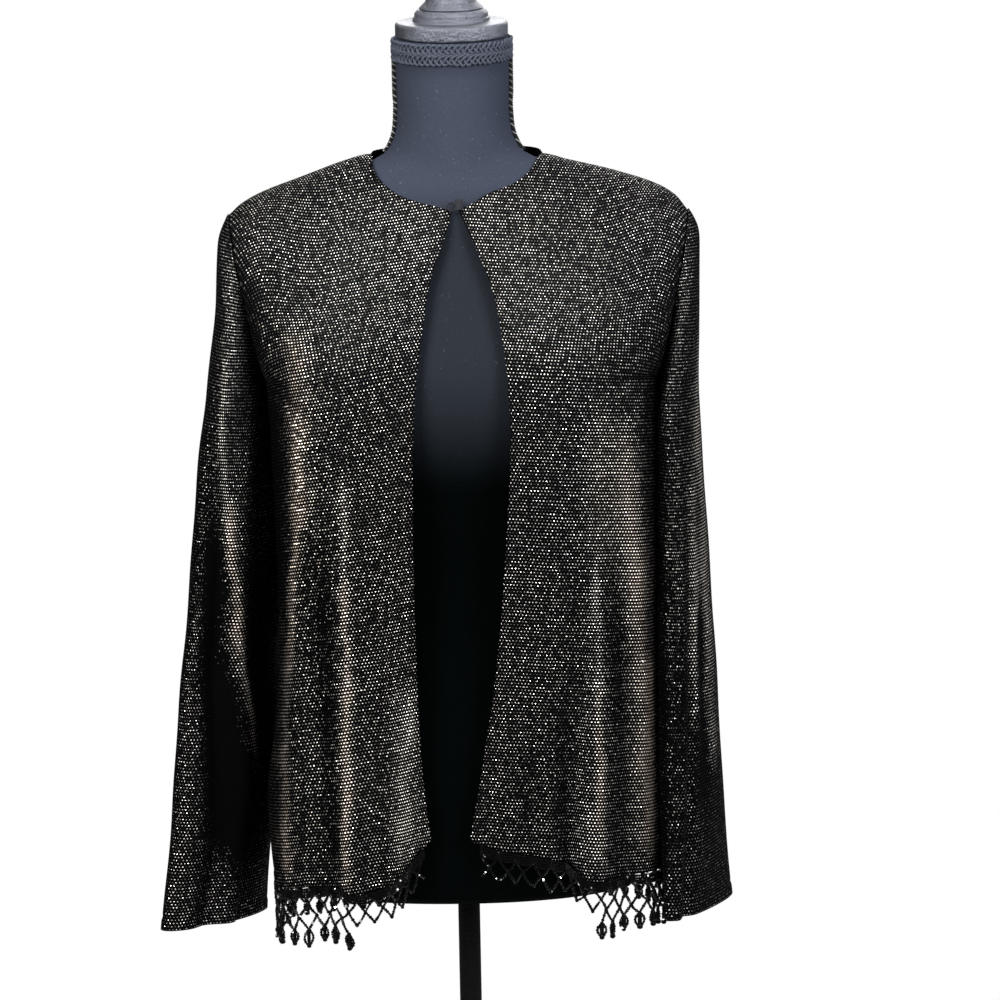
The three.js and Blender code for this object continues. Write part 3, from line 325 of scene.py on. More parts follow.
def foldLift(folds, height, place, lowKey, highKey):
    # The main folds: ridges between a low and a high point, fading out near the high one.
    lift = np.zeros(np.broadcast(height, place).shape)
    for k in range(len(folds["low"])):  # a handful of folds
        part = (height - folds["low"][k]) / (folds["high"][k] - folds["low"][k])
        centre = mix(folds[lowKey][k], folds[highKey][k], np.clip(part, 0, 1))
        strength = 1 - ease(0.55, 1, part)
        lift = lift + folds["lift"][k] * strength * np.exp(-((place - centre) / folds["width"][k]) ** 2)
    return lift


def creaseLift(creases, height, place, scale, around=False):
    # Soft ridges along short lines in the plane of place and height, fading at both ends.
    lift = np.zeros(np.broadcast(height, place).shape)
    for k in range(len(creases["lift"])):
        startHeight, endHeight = creases["fromHeight"][k], creases["toHeight"][k]
        part = (height - startHeight) / (endHeight - startHeight)
        bend = 0.04 * scale * np.sin(part * 5 + k)
        centre = mix(creases["fromOut"][k], creases["toOut"][k], np.clip(part, 0, 1)) + bend
        fade = ease(0, 0.3, part) * (1 - ease(0.7, 1, part))
        lift = lift + creases["lift"][k] * fade * softLine(place, centre, creases["width"][k], around)
    return lift


def softLine(place, centre, width, around):
    # 1 on a line and less beside it. Places that go around are in degrees.
    apart = (place - centre + 180) % 360 - 180 if around else place - centre
    return np.exp(-(apart / width) ** 2)


def shineLift(shine, height, place, around=False):
    # Painted light and shade that a piece's shine lines add, and the share of it that is copper-tinted
    # painted highlight.
    light = np.zeros(np.broadcast(height, place).shape)
    copper = light
    for k in range(len(shine["lift"])):
        part = (height - shine["fromHeight"][k]) / (shine["toHeight"][k] - shine["fromHeight"][k])
        width = shine["width"][k]
        wander = (np.sin(height * 0.07 + 2 * k) * 0.3 + np.sin(height * 0.19 + k) * 0.2) * min(width, 5)
        centre = mix(shine["fromOut"][k], shine["toOut"][k], np.clip(part, 0, 1)) + wander
        flicker = 0.9 + 0.2 * np.sin(height * 0.05 + 3 * k)
        fade = ease(-0.12, 0.16, part) * (1 - ease(0.84, 1.12, part)) * flicker
        narrow, wide = (softLine(place, centre, width * times, around) for times in (1, 2.4))
        soft = 0.65 * narrow + 0.35 * wide
        line = shine["lift"][k] * fade * soft
        light = light + line
        copper = copper + np.maximum(line, 0) * shine["warm"][k]
    return light, np.clip(copper, 0, 1)


def quarter(across, square):
    # Shares of the width and depth at a place along a rounded quarter, from its middle to its side.
    out = 1 - (1 - across) ** 2
    return out, np.maximum(0, 1 - out ** square) ** (1 / square)


def armholePoint(side, rise, facing):
    # Points of the armhole, from the underarm at rise 0 to the shoulder at 1.
    bulge = np.where(facing < 0, clothValues["armholeFront"], clothValues["armholeBack"])
    out = mix(side["armhole"][0], side["armhole"][1], rise ** clothValues["armholeLean"])
    y = facing * bulge * 2 * np.sqrt(np.maximum(0, rise * (1 - rise)))
    return out, y, mix(clothValues["underarm"], side["top"]["height"][-1], rise)


def softTop(side, across, facing):
    # The top line with its corners rounded, for the cloth that hangs below it.
    reach = np.minimum(0.13, np.minimum(across, 1 - across))
    steps = np.linspace(-1, 1, 9)
    weights = 1 - 0.7 * np.abs(steps)
    found = [topPoint(side, across + step * reach, facing) for step in steps]
    return [sum(w * point[k] for w, point in zip(weights, found)) / weights.sum() for k in range(3)]


def topPoint(side, across, facing):
    # Points of the upper edge: along the neckline and then the shoulder.
    top = side["top"]
    out = readTable(top, "across", across, "out")
    height = readTable(top, "across", across, "height")
    if facing < 0:
        return out, -readTable(top, "across", across, "front"), height
    neck = top["across"].index(clothValues["neckAcross"])
    angle = np.clip(across / clothValues["neckAcross"], 0, 1) * math.pi / 2
    inside = across < clothValues["neckAcross"]
    rise = np.maximum(0, np.cos(angle)) ** 0.5
    out = np.where(inside, top["out"][neck] * np.sin(angle), out)
    y = np.where(inside, clothValues["backNeckDepth"] * np.cos(angle), 0)
    height = np.where(inside, mix(top["height"][neck], clothValues["backNeckHeight"], rise), height)
    return out, y, height


def lowerPoint(side, across, up, facing):
    # The half below the underarm, hanging straight down to the hem.
    front = facing < 0
    hem = readTable(side["hem"], "across", across if front else np.ones_like(across), "height")
    height = mix(hem, clothValues["underarm"], up)
    out, depth = quarter(across, clothValues["frontSquare" if front else "backSquare"])
    edge = readTable(side["edge"], "height", height, "out") if front else 0
    full = readTable(bodyDepth, "height", height, "front" if front else "back")
    return mix(edge, readTable(side["side"], "height", height, "out"), out), facing * full * depth, height


def upperPoint(side, across, up, facing):
    # The half above the underarm, curving in to the upper edge and out to the armhole.
    front = facing < 0
    power = 2 / clothValues["frontRoll" if front else "backRoll"]
    centreEnd = clothValues["frontCentreRise" if front else "backCentreRise"]
    end = mix(centreEnd, 1, ease(0, clothValues["neckAcross"], across))
    cosAt = lambda part: np.maximum(0, np.cos(part * math.pi / 2)) ** power
    sinAt = lambda part: np.maximum(0, np.sin(part * math.pi / 2)) ** power
    rise = sinAt(up * end) / sinAt(end)
    fall = (cosAt(up * end) - cosAt(end)) / (1 - cosAt(end))
    exact, soft = topPoint(side, across, facing), softTop(side, across, facing)
    sharp = ease(0.9, 1, rise) if front else 1
    topOut, topY, topHeight = (mix(a, b, sharp) for a, b in zip(soft, exact))
    shareOut, shareDepth = quarter(across, clothValues["frontSquare" if front else "backSquare"])
    armOut, armY, _ = armholePoint(side, rise, facing)
    height = mix(clothValues["underarm"], topHeight, rise)
    edge = readTable(side["edge"], "height", height, "out") if front else 0
    edgeTop = side["top"]["out"][0] if front else 0
    plain = mix(edge, armOut, shareOut)
    plainTop = mix(edgeTop, side["armhole"][1], shareOut)
    depth = bodyDepth["front" if front else "back"][-1]
    farY = topY / np.maximum(0.5, shareDepth)
    full = farY + (facing * depth - farY) * fall
    return plain + (topOut - plainTop) * rise ** 1.5, mix(armY, full, shareDepth), height


def bodySurface(side, across, up, facing, fine=True):
    # Points (x, y, height) of half the body. up is 0 at the hem, 1 at the underarm and 2 at the top.
    across, up = np.broadcast_arrays(np.asarray(across, float), np.asarray(up, float))
    low = lowerPoint(side, across, np.minimum(up, 1), facing)
    high = upperPoint(side, across, np.clip(up - 1, 0, 1), facing)
    out, y, height = (np.where(up <= 1, a, b) for a, b in zip(low, high))
    if facing < 0:
        place = out
        lift = foldLift(side["folds"], height, place, "outLow", "outHigh")
        creases, scale = (leftCreases if side["sign"] < 0 else rightCreases), 40
    else:
        place = side["sign"] * quarter(across, clothValues["backSquare"])[0]
        lift = foldLift(backFolds, height, place, "at", "at")
        creases, scale = backCreases, 0.3
    calm = 1 - ease(0.86, 1, across)
    lift = lift * calm
    if fine:
        rest = ease(0, 0.06, 2 - up)
        seed = 2.1 * side["sign"] + facing
        slow = (np.sin(out * 0.045 + height * 0.011 + seed) * np.sin(height * 0.021 - out * 0.02 + seed)
                + 0.6 * np.sin(out * 0.11 + height * 0.03 + 2 * seed) * np.sin(height * 0.047 + seed))
        flute = clothValues["flute"] * np.sin(out * 0.17 + seed) * (1 - ease(0, 0.35, up))
        slow = clothValues["slowFold"] * slow
        lift = lift + (creaseLift(creases, height, place, scale) + slow + flute) * calm * rest
        lift = lift + clothValues["hemLift"] * edgeBand(across, up, facing)
    # Lifts move the cloth outward, square to a wide oval.
    outSlope = out / clothValues["ovalHalf"] ** 2 * clothValues["ovalShare"]
    depthSlope = y / clothValues["ovalDepth"] ** 2
    length = np.maximum(np.hypot(outSlope, depthSlope), 1e-9)
    return side["sign"] * (out + lift * outSlope / length), y + lift * depthSlope / length, height


def turnedEdge(near, width):
    # 1 on a turned edge, falling to a stitched groove at its inner line. near is the distance from the edge.
    groove = np.exp(-((near - width) / clothValues["grooveWide"]) ** 2)
    return (1 - ease(width - 2, width + 1, near)) - clothValues["grooveDeep"] * groove


def edgeBand(across, up, facing):
    # The turned hem, with the turned front edge on a front.
    near = up * clothValues["lowerLength"]
    if facing < 0:
        near = np.minimum(near, quarter(across, 2)[0] * clothValues["frontReach"])
    return turnedEdge(near, clothValues["hemBand"])


def sleeveSurface(side, sleeve, creases, turn, down):
    # Points of a sleeve. turn runs 0 to 1 round it from the inside by the front, down from 0 to 1.
    turn, down = np.broadcast_arrays(np.asarray(turn, float), np.asarray(down, float))
    angle = turn * 2 * math.pi
    facing = np.where(np.sin(angle) >= 0, -1, 1)
    armRise = (1 - np.cos(angle)) / 2
    armOut, armY, armHeight = armholePoint(side, armRise, facing)
    height = mix(armHeight, sleeve["cuff"], down)
    ring = lambda column: readTable(sleeve["rings"], "height", height, column)
    lean = np.radians(ring("turn"))
    degrees = turn * 360
    lift = foldLift(sleeve["folds"], height, degrees, "atLow", "atHigh") * ease(0, 0.12, down)
    slow = np.sin(angle * 3 + height * 0.02) * np.sin(height * 0.037 + side["sign"])
    slow = clothValues["sleeveSlow"] * slow
    lift = lift + (creaseLift(creases, height, degrees, 60, True) + slow) * ease(0.03, 0.15, down)
    fromCuff = (1 - down) * (armHeight - sleeve["cuff"])
    lift = lift + clothValues["hemLift"] * turnedEdge(fromCuff, clothValues["cuffBand"])
    forward = (ring("long") + lift * np.abs(np.sin(angle))) * np.sin(angle)
    outward = -ring("thin") * np.cos(angle) - lift * np.cos(angle)
    out = ring("out") + forward * np.sin(lean) + outward * np.cos(lean)
    y = ring("back") - forward * np.cos(lean) + outward * np.sin(lean)
    settle = 1 - (1 - np.clip(down / mix(0.2, 0.035, armRise), 0, 1)) ** 2
    place = mix(armY, y, settle)
    reach = mix(armOut + mix(1.6, 0.7, armRise), out, settle)
    least = np.where(height < clothValues["underarm"], besideBody(side, place, height), 0)
    return side["sign"] * np.maximum(reach, least), place, height


def besideBody(side, place, height):
    # The least distance out that clears the body and its folds.
    square = np.where(place < 0, clothValues["frontSquare"], clothValues["backSquare"])
    front, back = (readTable(bodyDepth, "height", height, key) for key in ("front", "back"))
    share = np.minimum(1, np.abs(place) / np.where(place < 0, front, back))
    out = (1 - share ** square) ** (1 / square)
    edge = np.where(place < 0, readTable(side["edge"], "height", height, "out"), 0)
    room = clothValues["pressGap"] + 4 * ease(35, 75, np.abs(place))
    return mix(edge, readTable(side["side"], "height", height, "out"), out) + room


def link(name, data):
    thing = bpy.data.objects.new(name, data)
    bpy.context.scene.collection.objects.link(thing)
    return thing


def shade(mesh, marks, smooth=True):
    # Stores a number for each vertex under each name, and sets the shading.
    for key, column in (marks or {}).items():
        attribute = mesh.attributes.new(key, "FLOAT", "POINT")
        attribute.data.foreach_set("value", column.astype(np.float32).ravel())
    mesh.polygons.foreach_set("use_smooth", [smooth] * len(mesh.polygons))
    mesh.update()


def gridMesh(name, points, flat=None, marks=None, closed=False, caps=False):
    # A mesh from a grid of points (rows, columns, 3) in millimetres. closed joins last column and first.
    rows, columns = points.shape[:2]
    index = np.arange(rows * columns).reshape(rows, columns)
    if closed:
        index = np.concatenate([index, index[:, :1]], axis=1)
    faces = np.stack([index[:-1, :-1], index[:-1, 1:], index[1:, 1:], index[1:, :-1]], -1).reshape(-1, 4)
    polygons = [tuple(face) for face in faces.tolist()]
    if caps:
        polygons += [tuple(index[0, :columns][::-1].tolist()), tuple(index[-1, :columns].tolist())]
    mesh = bpy.data.meshes.new(name)
    mesh.from_pydata((points.reshape(-1, 3) * millimetre).tolist(), [], polygons)
    corners = np.zeros(len(mesh.loops), dtype=np.int32)
    mesh.loops.foreach_get("vertex_index", corners)
    if flat is not None:
        layer = mesh.uv_layers.new(name="flat")
        across = flat.reshape(-1, 2)[corners]
        if closed:  # the seam's far side carries on from the last column
            wraps = flat[:, -1, 0] + (flat[:, -1, 0] - flat[:, -2, 0])
            quads = len(faces)
            face = np.arange(quads * 4) // 4
            atSeam = (face % (index.shape[1] - 1) == index.shape[1] - 2)
            second = np.isin(np.arange(quads * 4) % 4, (1, 2))
            row = corners[:quads * 4] // columns
            pick = atSeam & second
            across[:quads * 4][pick, 0] = wraps[row[pick]]
        layer.uv.foreach_set("vector", across.astype(np.float32).ravel())
    shade(mesh, marks)
    return link(name, mesh)


def facesMesh(name, points, faces, marks=None, smooth=True):
    # A mesh from points (n, 3) in millimetres and faces (m, 3 or 4).
    mesh = bpy.data.meshes.new(name)
    mesh.from_pydata((points * millimetre).tolist(), [], faces.tolist())
    shade(mesh, marks, smooth)
    return link(name, mesh)


def arcLengths(points, axis):
    # How far along its row or column of the grid each point is.
    step = np.linalg.norm(np.diff(points, axis=axis), axis=-1)
    start = np.zeros_like(step[:1] if axis == 0 else step[:, :1])
    return np.concatenate([start, np.cumsum(step, axis=axis)], axis=axis)


def thicken(thing, wall):
    solid = thing.modifiers.new("wall", "SOLIDIFY")
    solid.thickness = wall * millimetre
    solid.offset = -1
    solid.use_even_offset = False


def finishPiece(thing, material, node):
    thing.data.materials.append(material)
    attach(thing, "root")
    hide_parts(node)
    return thing


def spokes(axis, sides, main, limit):
    # Directions round each axis (n, 3), as (n, sides, 3), set by a main direction unless the axis is near it.
    angle, guides = turns(sides), np.eye(3)
    guide = np.where(np.abs(axis[:, main:main + 1]) > limit, guides[main - 1], guides[main])
    first = np.cross(axis, guide)
    first /= np.linalg.norm(first, axis=1, keepdims=True)
    second = np.cross(axis, first)
    return first[:, None] * np.cos(angle)[None, :, None] + second[:, None] * np.sin(angle)[None, :, None]


def beads(starts, ends, radii, sides=6):
    # Short barrels between pairs of points: their points, their sides as quads and their ends as polygons.
    profile = np.array([[0.0, 0.62], [0.22, 1.0], [0.78, 1.0], [1.0, 0.62]])
    count, rings = len(starts), len(profile)
    along = ends - starts
    axis = along / np.maximum(np.linalg.norm(along, axis=1, keepdims=True), 1e-9)
    centre = starts[:, None] + along[:, None] * profile[None, :, :1]
    radius = radii[:, None] * profile[None, :, 1]
    points = centre[:, :, None] + spokes(axis, sides, 1, 0.8)[:, None] * radius[:, :, None, None]
    index = np.arange(count * rings * sides).reshape(count, rings, sides)
    turned = np.roll(index, -1, axis=2)
    quads = np.stack([index[:, :-1], turned[:, :-1], turned[:, 1:], index[:, 1:]], -1).reshape(-1, 4)
    low = index[:, 0, ::-1].reshape(count, sides)
    high = index[:, -1].reshape(count, sides)
    return points.reshape(-1, 3), quads, np.concatenate([low, high])


class Field:
    # A node's socket that takes part in ordinary sums.
    def __init__(self, surface, socket):
        self.surface = surface
        self.socket = socket

    def sum(self, kind, other=0.0):
        return self.surface.maths(kind, self, other)

    def __add__(self, other):
        return self.sum("ADD", other)

    def __sub__(self, other):
        return self.sum("SUBTRACT", other)

    def __mul__(self, other):
        return self.sum("MULTIPLY", other)

    def __truediv__(self, other):
        return self.sum("DIVIDE", other)

    def __pow__(self, other):
        return self.sum("POWER", other)

    def __radd__(self, other):
        return self.surface.maths("ADD", other, self)

    def __rsub__(self, other):
        return self.surface.maths("SUBTRACT", other, self)


class Surface:
    # A material and its node tree.
    def __init__(self, name):
        self.material = bpy.data.materials.new(name)
        self.material.use_nodes = True
        self.tree = self.material.node_tree
        self.shader = self.tree.nodes["Principled BSDF"]

    def put(self, socket, value):
        if isinstance(value, Field):
            self.tree.links.new(value.socket, socket)
        elif hasattr(value, "__len__") and len(socket.default_value) == 4 and len(value) == 3:
            socket.default_value = (*value, 1)
        else:
            socket.default_value = value

    def node(self, kind, settings=None, values=None, output=0):
        made = self.tree.nodes.new(kind)
        for key, value in (settings or {}).items():
            setattr(made, key, value)
        for key, value in (values or {}).items():
            self.put(made.inputs[key], value)
        return Field(self, made.outputs[output])

    def maths(self, kind, first, second):
        return self.node("ShaderNodeMath", {"operation": kind}, {0: first, 1: second})

    def vector(self, kind, first, second=(0, 0, 0)):
        return self.node("ShaderNodeVectorMath", {"operation": kind}, {0: first, 1: second})

    def scaled(self, vector, amount):
        return self.node("ShaderNodeVectorMath", {"operation": "SCALE"}, {0: vector, "Scale": amount})

    def blend(self, part, first, second):
        settings = {"data_type": "RGBA", "clamp_factor": True}
        return self.node("ShaderNodeMix", settings, {"Factor": part, 6: first, 7: second}, 2)

    def between(self, value, low, high, start=0.0, end=1.0):
        settings = {"interpolation_type": "SMOOTHSTEP"}
        values = {"Value": value, "From Min": low, "From Max": high, "To Min": start, "To Max": end}
        return self.node("ShaderNodeMapRange", settings, values)

    def attribute(self, name):
        return self.node("ShaderNodeAttribute", {"attribute_name": name}, output=2)

    def place(self):
        return self.node("ShaderNodeTexCoord", output=3)

    def parts(self, vector):
        split = self.node("ShaderNodeSeparateXYZ", values={0: vector}).socket.node
        return tuple(Field(self, socket) for socket in split.outputs)

    def joined(self, x, y, z):
        return self.node("ShaderNodeCombineXYZ", values={0: x, 1: y, 2: z})

    def noise(self, vector, scale, detail=2.0, rough=0.5):
        values = {"Vector": vector, "Scale": scale, "Detail": detail, "Roughness": rough}
        return self.node("ShaderNodeTexNoise", values=values)

    def random(self, vector, output=0):
        return self.node("ShaderNodeTexWhiteNoise", {"noise_dimensions": "3D"}, {"Vector": vector}, output)

    def bump(self, height, strength, distance):
        values = {"Strength": strength, "Distance": distance, "Height": height}
        return self.node("ShaderNodeBump", values=values)

    def set(self, **sockets):
        for name, value in sockets.items():
            self.put(self.shader.inputs[name.replace("_", " ")], value)
        return self.material


# The cloth's stitches: staggered metallic dots on black yarn. Dots in millimetres, low and high in metres.
# chest is painted light on the yarn higher up, sheen a painted highlight on it, copper the tint of painted
# highlights, and dark to bright the span of painted light and shade over the dots.
knitValues = {"pitch": 3.1, "row": 3.0, "dotWide": 0.57, "dotHigh": 0.5, "dotEdge": (1.1, 0.7),
              "wander": 38, "unevenness": 0.5, "ground": (0.0006, 0.0006, 0.0007),
              "chest": (0.0018, 0.0018, 0.0022),
              "sheen": (0.016, 0.0132, 0.0112), "low": 1.08, "high": 1.38, "gold": (0.95, 0.92, 0.86),
              "copper": (1.0, 0.86, 0.75), "chanceShare": 0.7, "dark": 0.2, "bright": 1.35, "least": 0.12,
              "spread": 0.95, "paintedHighlightShare": 0.6, "tilt": 0.7, "dotRough": 0.36, "groundRough": 0.82}


def knitMaterial(name, values):
    # cell = floor of u / pitch (half a cell on in odd rows) and of v / row, with numbers chance and second
    # dot = 1 inside an oval in each cell, drawn out along its row up to 2.2 times by the painted highlight
    # and chance lit = 0 to 1 while chanceShare * chance + glow goes from dark to bright; glow is painted
    # light and shade bright = lit * (least + spread * second, eased + a share of the painted highlight), at
    # most 1 ground = black, lighter on the chest as painted light from above, toward a painted sheen by the
    # painted highlight squared * chance, times 0.7 to 1.3 by noise
    # colour = ground, or in a dot gold to copper (the painted highlight's copper tint), times bright, which
    # paints light and shade on the dots; bump = dots and noise
    s = Surface(name)
    u, v, _ = s.parts(s.node("ShaderNodeUVMap", {"uv_map": "flat"}))
    wander = s.noise(s.place(), values["wander"], 1.0)
    u = u * 1000 + (wander - 0.5) * values["unevenness"]
    v = v * 1000 + (wander - 0.5) * values["unevenness"] * 2
    row = (v / values["row"]).sum("FLOOR")
    column = u / values["pitch"] + row.sum("MODULO", 2) * 0.5
    cell = column.sum("FLOOR")
    # the painted highlight along the shine lines
    paintedHighlight = s.attribute("paintedHighlight")
    number = s.joined(cell, row, 0.5)
    chance = s.random(number)
    alongRow = (column - cell - 0.5) * (values["pitch"] / values["dotWide"])
    alongRow = alongRow * (1 - paintedHighlight * (0.25 + chance * 0.3))
    upRow = (v / values["row"] - row - 0.5) * (values["row"] / values["dotHigh"])
    off = (alongRow * alongRow + upRow * upRow) ** 0.5
    dot = s.between(off, *values["dotEdge"])
    # the copper share of the painted highlights
    highlightTint = s.attribute("highlightTint")
    metal = s.blend(highlightTint, values["gold"], values["copper"])
    glow = chance * values["chanceShare"] + s.attribute("glow")
    lit = s.between(glow, values["dark"], values["bright"])
    second = s.between(s.random(s.joined(cell, row, 7.5)), 0.15, 0.8)
    bright = lit * (values["least"] + second * values["spread"] + paintedHighlight * values["paintedHighlightShare"])
    # painted light and shade: the dot colour dims and brightens with it
    metal = s.scaled(metal, bright.sum("MINIMUM", 1.0))
    height = s.parts(s.place())[2]
    # painted light from above: the ground is lighter on the chest
    ground = s.blend(s.between(height, values["low"], values["high"]), values["ground"], values["chest"])
    # painted sheen on the ground along the highlights
    ground = s.blend(paintedHighlight * paintedHighlight * chance, ground, values["sheen"])
    ground = s.scaled(ground, 0.7 + s.noise(s.place(), 900) * 0.6)
    colour = s.blend(dot, ground, metal)
    bumped = s.bump(dot + s.noise(s.place(), 700) * 0.3, 0.35, 0.0006)
    lean = s.vector("SUBTRACT", s.random(number, 1), (0.5, 0.5, 0.5))
    normal = s.vector("NORMALIZE", s.vector("ADD", bumped, s.scaled(lean, dot * values["tilt"])))
    return s.set(Base_Color=colour, Metallic=dot, Normal=normal, Specular_IOR_Level=0.01,
                 Roughness=s.between(dot, 0, 1, values["groundRough"], values["dotRough"]))


# The form's jersey colours by height are painted light and shade: slate above where light falls, middle, and
# dark below in painted shade.
formValues = {"slate": (0.0205, 0.0245, 0.0357), "middle": (0.0093, 0.0112, 0.0145),
              "dark": (0.0002, 0.0005, 0.0005), "low": (1.12, 1.235), "high": (1.355, 1.41),
              "lint": 0.9, "rough": 0.9}


def jerseyMaterial(name, values):
    # colour = dark below, then middle, then slate above, by height, as painted light from above and painted
    # shade below on black jersey, times 0.7 to 1.3 by fine noise, plus lint times it where coarser noise is
    # above 0.78; bump = fine knit ribs and noise
    s = Surface(name)
    place = s.place()
    x, _, z = s.parts(place)
    lower = s.blend(s.between(z, *values["low"]), values["dark"], values["middle"])
    colour = s.blend(s.between(z, *values["high"]), lower, values["slate"])
    lint = s.between(s.noise(place, 400, 0.0), 0.78, 0.84)
    colour = s.scaled(colour, 0.7 + s.noise(place, 900) * 0.6 + lint * values["lint"])
    ribs = (x * 5200).sum("SINE") * (z * 3800).sum("SINE")
    return s.set(Base_Color=colour, Roughness=values["rough"] + s.noise(place, 60) * 0.1,
                 Normal=s.bump(ribs + s.noise(place, 1100) * 0.8, 0.25, 0.0003), Specular_IOR_Level=0.01)


def glossMaterial(name, values):
    # colour = colour times 1 - spread / 2 to 1 + spread / 2 by noise, roughness = rough times 0.8 to 1.2 by
    # the same noise; bump = a crinkle from finer noise
    s = Surface(name)
    cloud = s.noise(s.place(), values["grain"], 3.0)
    tone = s.scaled(values["colour"], 1 - values["spread"] / 2 + cloud * values["spread"])
    return s.set(Base_Color=tone, Roughness=values["rough"] * 0.8 + cloud * values["rough"] * 0.4,
                 Metallic=values["metal"], Specular_IOR_Level=values["shine"], Coat_Weight=values["coat"],
                 Coat_Roughness=0.08, Normal=s.bump(s.noise(s.place(), 340, 4.0, 0.7), 1.0, 0.0024))


def beadMaterial(name, values):
    # black glass: colour = dark to lighter by the bead's own number, turning to a silvery painted glint
    # between the two glintFrom values, metal standing in for light caught on the glass; roughness falls from
    # 0.5 to 0.05 with the number
    s = Surface(name)
    number = s.attribute("bead")
    glint = s.between(number, *values["glintFrom"])
    tone = s.blend(number, values["dark"], values["lighter"])
    return s.set(Base_Color=s.blend(glint, tone, values["glintSilver"]), Metallic=glint, Specular_IOR_Level=0.04,
                 Roughness=s.between(number, 0, 0.94, 0.5, 0.05))


def braidMaterial(name, colour, paintedGlint=0.0):
    # colour = colour times 0.55 to 1.3 by fine noise and 0.1 by the threads, plus a painted glint where a
    # slanting wave is above 0.5, light caught on the twists; bump = threads across
    s = Surface(name)
    place = s.place()
    x, y, z = s.parts(place)
    threads = ((x + y + z * 1.7) * 5200).sum("SINE")
    tone = s.scaled(colour, 0.55 + s.noise(place, 700) * 0.75 + threads * 0.1)
    paintedGlints = s.between((z * 1100 + x * 700 + s.noise(place, 90) * 3).sum("SINE"), 0.5, 0.95) * paintedGlint
    tone = s.vector("ADD", tone, s.joined(paintedGlints, paintedGlints, paintedGlints))
    return s.set(Base_Color=tone, Roughness=0.6 + s.noise(place, 200) * 0.15,
                 Normal=s.bump(threads, 0.4, 0.0003), Specular_IOR_Level=0.2)


# Bead colours: black glass, and a silvery colour for painted glints.
beadValues = {"dark": (0.0004, 0.0004, 0.0005), "lighter": (0.002, 0.002, 0.002),
              "glintSilver": (0.6, 0.6, 0.6), "glintFrom": (0.968, 0.98)}
paintValues = {"colour": (0.1, 0.106, 0.128), "rough": 0.34, "metal": 0.85, "coat": 0.1, "grain": 60,
               "spread": 1.0, "shine": 0.5}
standValues = {"colour": (0.0008, 0.001, 0.0009), "rough": 0.5, "metal": 0.0, "coat": 0.0, "grain": 20,
               "spread": 0.4, "shine": 0.03}
knit = knitMaterial("metallicKnit", knitValues)
jersey = jerseyMaterial("formJersey", formValues)
beadGlass = beadMaterial("beadGlass", beadValues)
gimp = braidMaterial("gimpBraid", (0.034, 0.040, 0.058))
# The cords get painted glints on their twists.
darkGimp = braidMaterial("cordGimp", (0.003, 0.0034, 0.0042), 0.16)
threadCloth = braidMaterial("hookThread", (0.0035, 0.0045, 0.0075))
capPaint = glossMaterial("capPaint", paintValues)
finialPaint = glossMaterial("finialPaint", paintValues)
poleMetal = glossMaterial("standMetal", standValues)
print("materials made")

# Painted light on the stitches: low and high are how far the cloth faces the viewer; the heights, in
# millimetres, are where the painted light grows.
glowValues = {"least": 0.3, "low": 0.3, "high": 0.95, "front": 0.86, "up": 0.6, "lower": 0.52, "chest": 0.63,
              "chestHeights": (1100, 1300), "shoulderHeights": (1320, 1410), "centreTop": 1330}


def glowOf(points, centre):
    # Painted light and shade on the stitches: most where the cloth faces forward (or back) and up, least at
    # its sides, and more with height.
    alongRow, upColumn = np.gradient(points, axis=1), np.gradient(points, axis=0)
    normal = np.cross(alongRow, upColumn)
    normal /= np.maximum(np.linalg.norm(normal, axis=-1, keepdims=True), 1e-9)
    away = np.sum(normal * (points - centre), -1)
    normal *= np.where(away < 0, -1, 1)[..., None]
    toward = glowValues["front"] * np.abs(normal[..., 1]) + glowValues["up"] * normal[..., 2]
    height = points[..., 2]
    level = mix(glowValues["lower"], glowValues["chest"], ease(*glowValues["chestHeights"], height))
    level = mix(level, 1, ease(*glowValues["shoulderHeights"], height))
    return level * mix(glowValues["least"], 1, ease(glowValues["low"], glowValues["high"], toward))


def gridSize(values):
    return (values[key] // 1 for key in ("columns", "rows"))


def knitPiece(name, node, points, flat, glow, shine, flip, closed=False):
    # A knit panel from its grid, with its wall. flip turns its columns round, so that its faces look outward.
    light, copper = shine
    # The marks paint light on the knit: glow as painted light and shade, the highlight as a painted highlight
    # and its copper tint.
    marks = {"glow": glow + light, "paintedHighlight": np.clip(light / 1.2, 0, 1), "highlightTint": copper}
    order = slice(None, None, -1 if flip else 1)
    marks = {key: mark[:, order] for key, mark in marks.items()}
    piece = gridMesh(name, points[:, order], flat[:, order], marks, closed)
    thicken(piece, clothValues["wall"])
    return finishPiece(piece, knit, node)


def bodyCentre(points):
    # The point inside the body that each point of the cloth faces away from.
    centre = points * 0
    centre[..., 2] = np.minimum(points[..., 2], glowValues["centreTop"])
    return centre


frontValues = {"columns": 118, "rows": 250, "lean": (0.16, 0.07), "chestPack": 0.18, "rowPack": 1.1,
               "flattest": 0.62, "upperFrom": 1225, "upperTo": 1310, "levelUntil": (0.35, 0.75)}


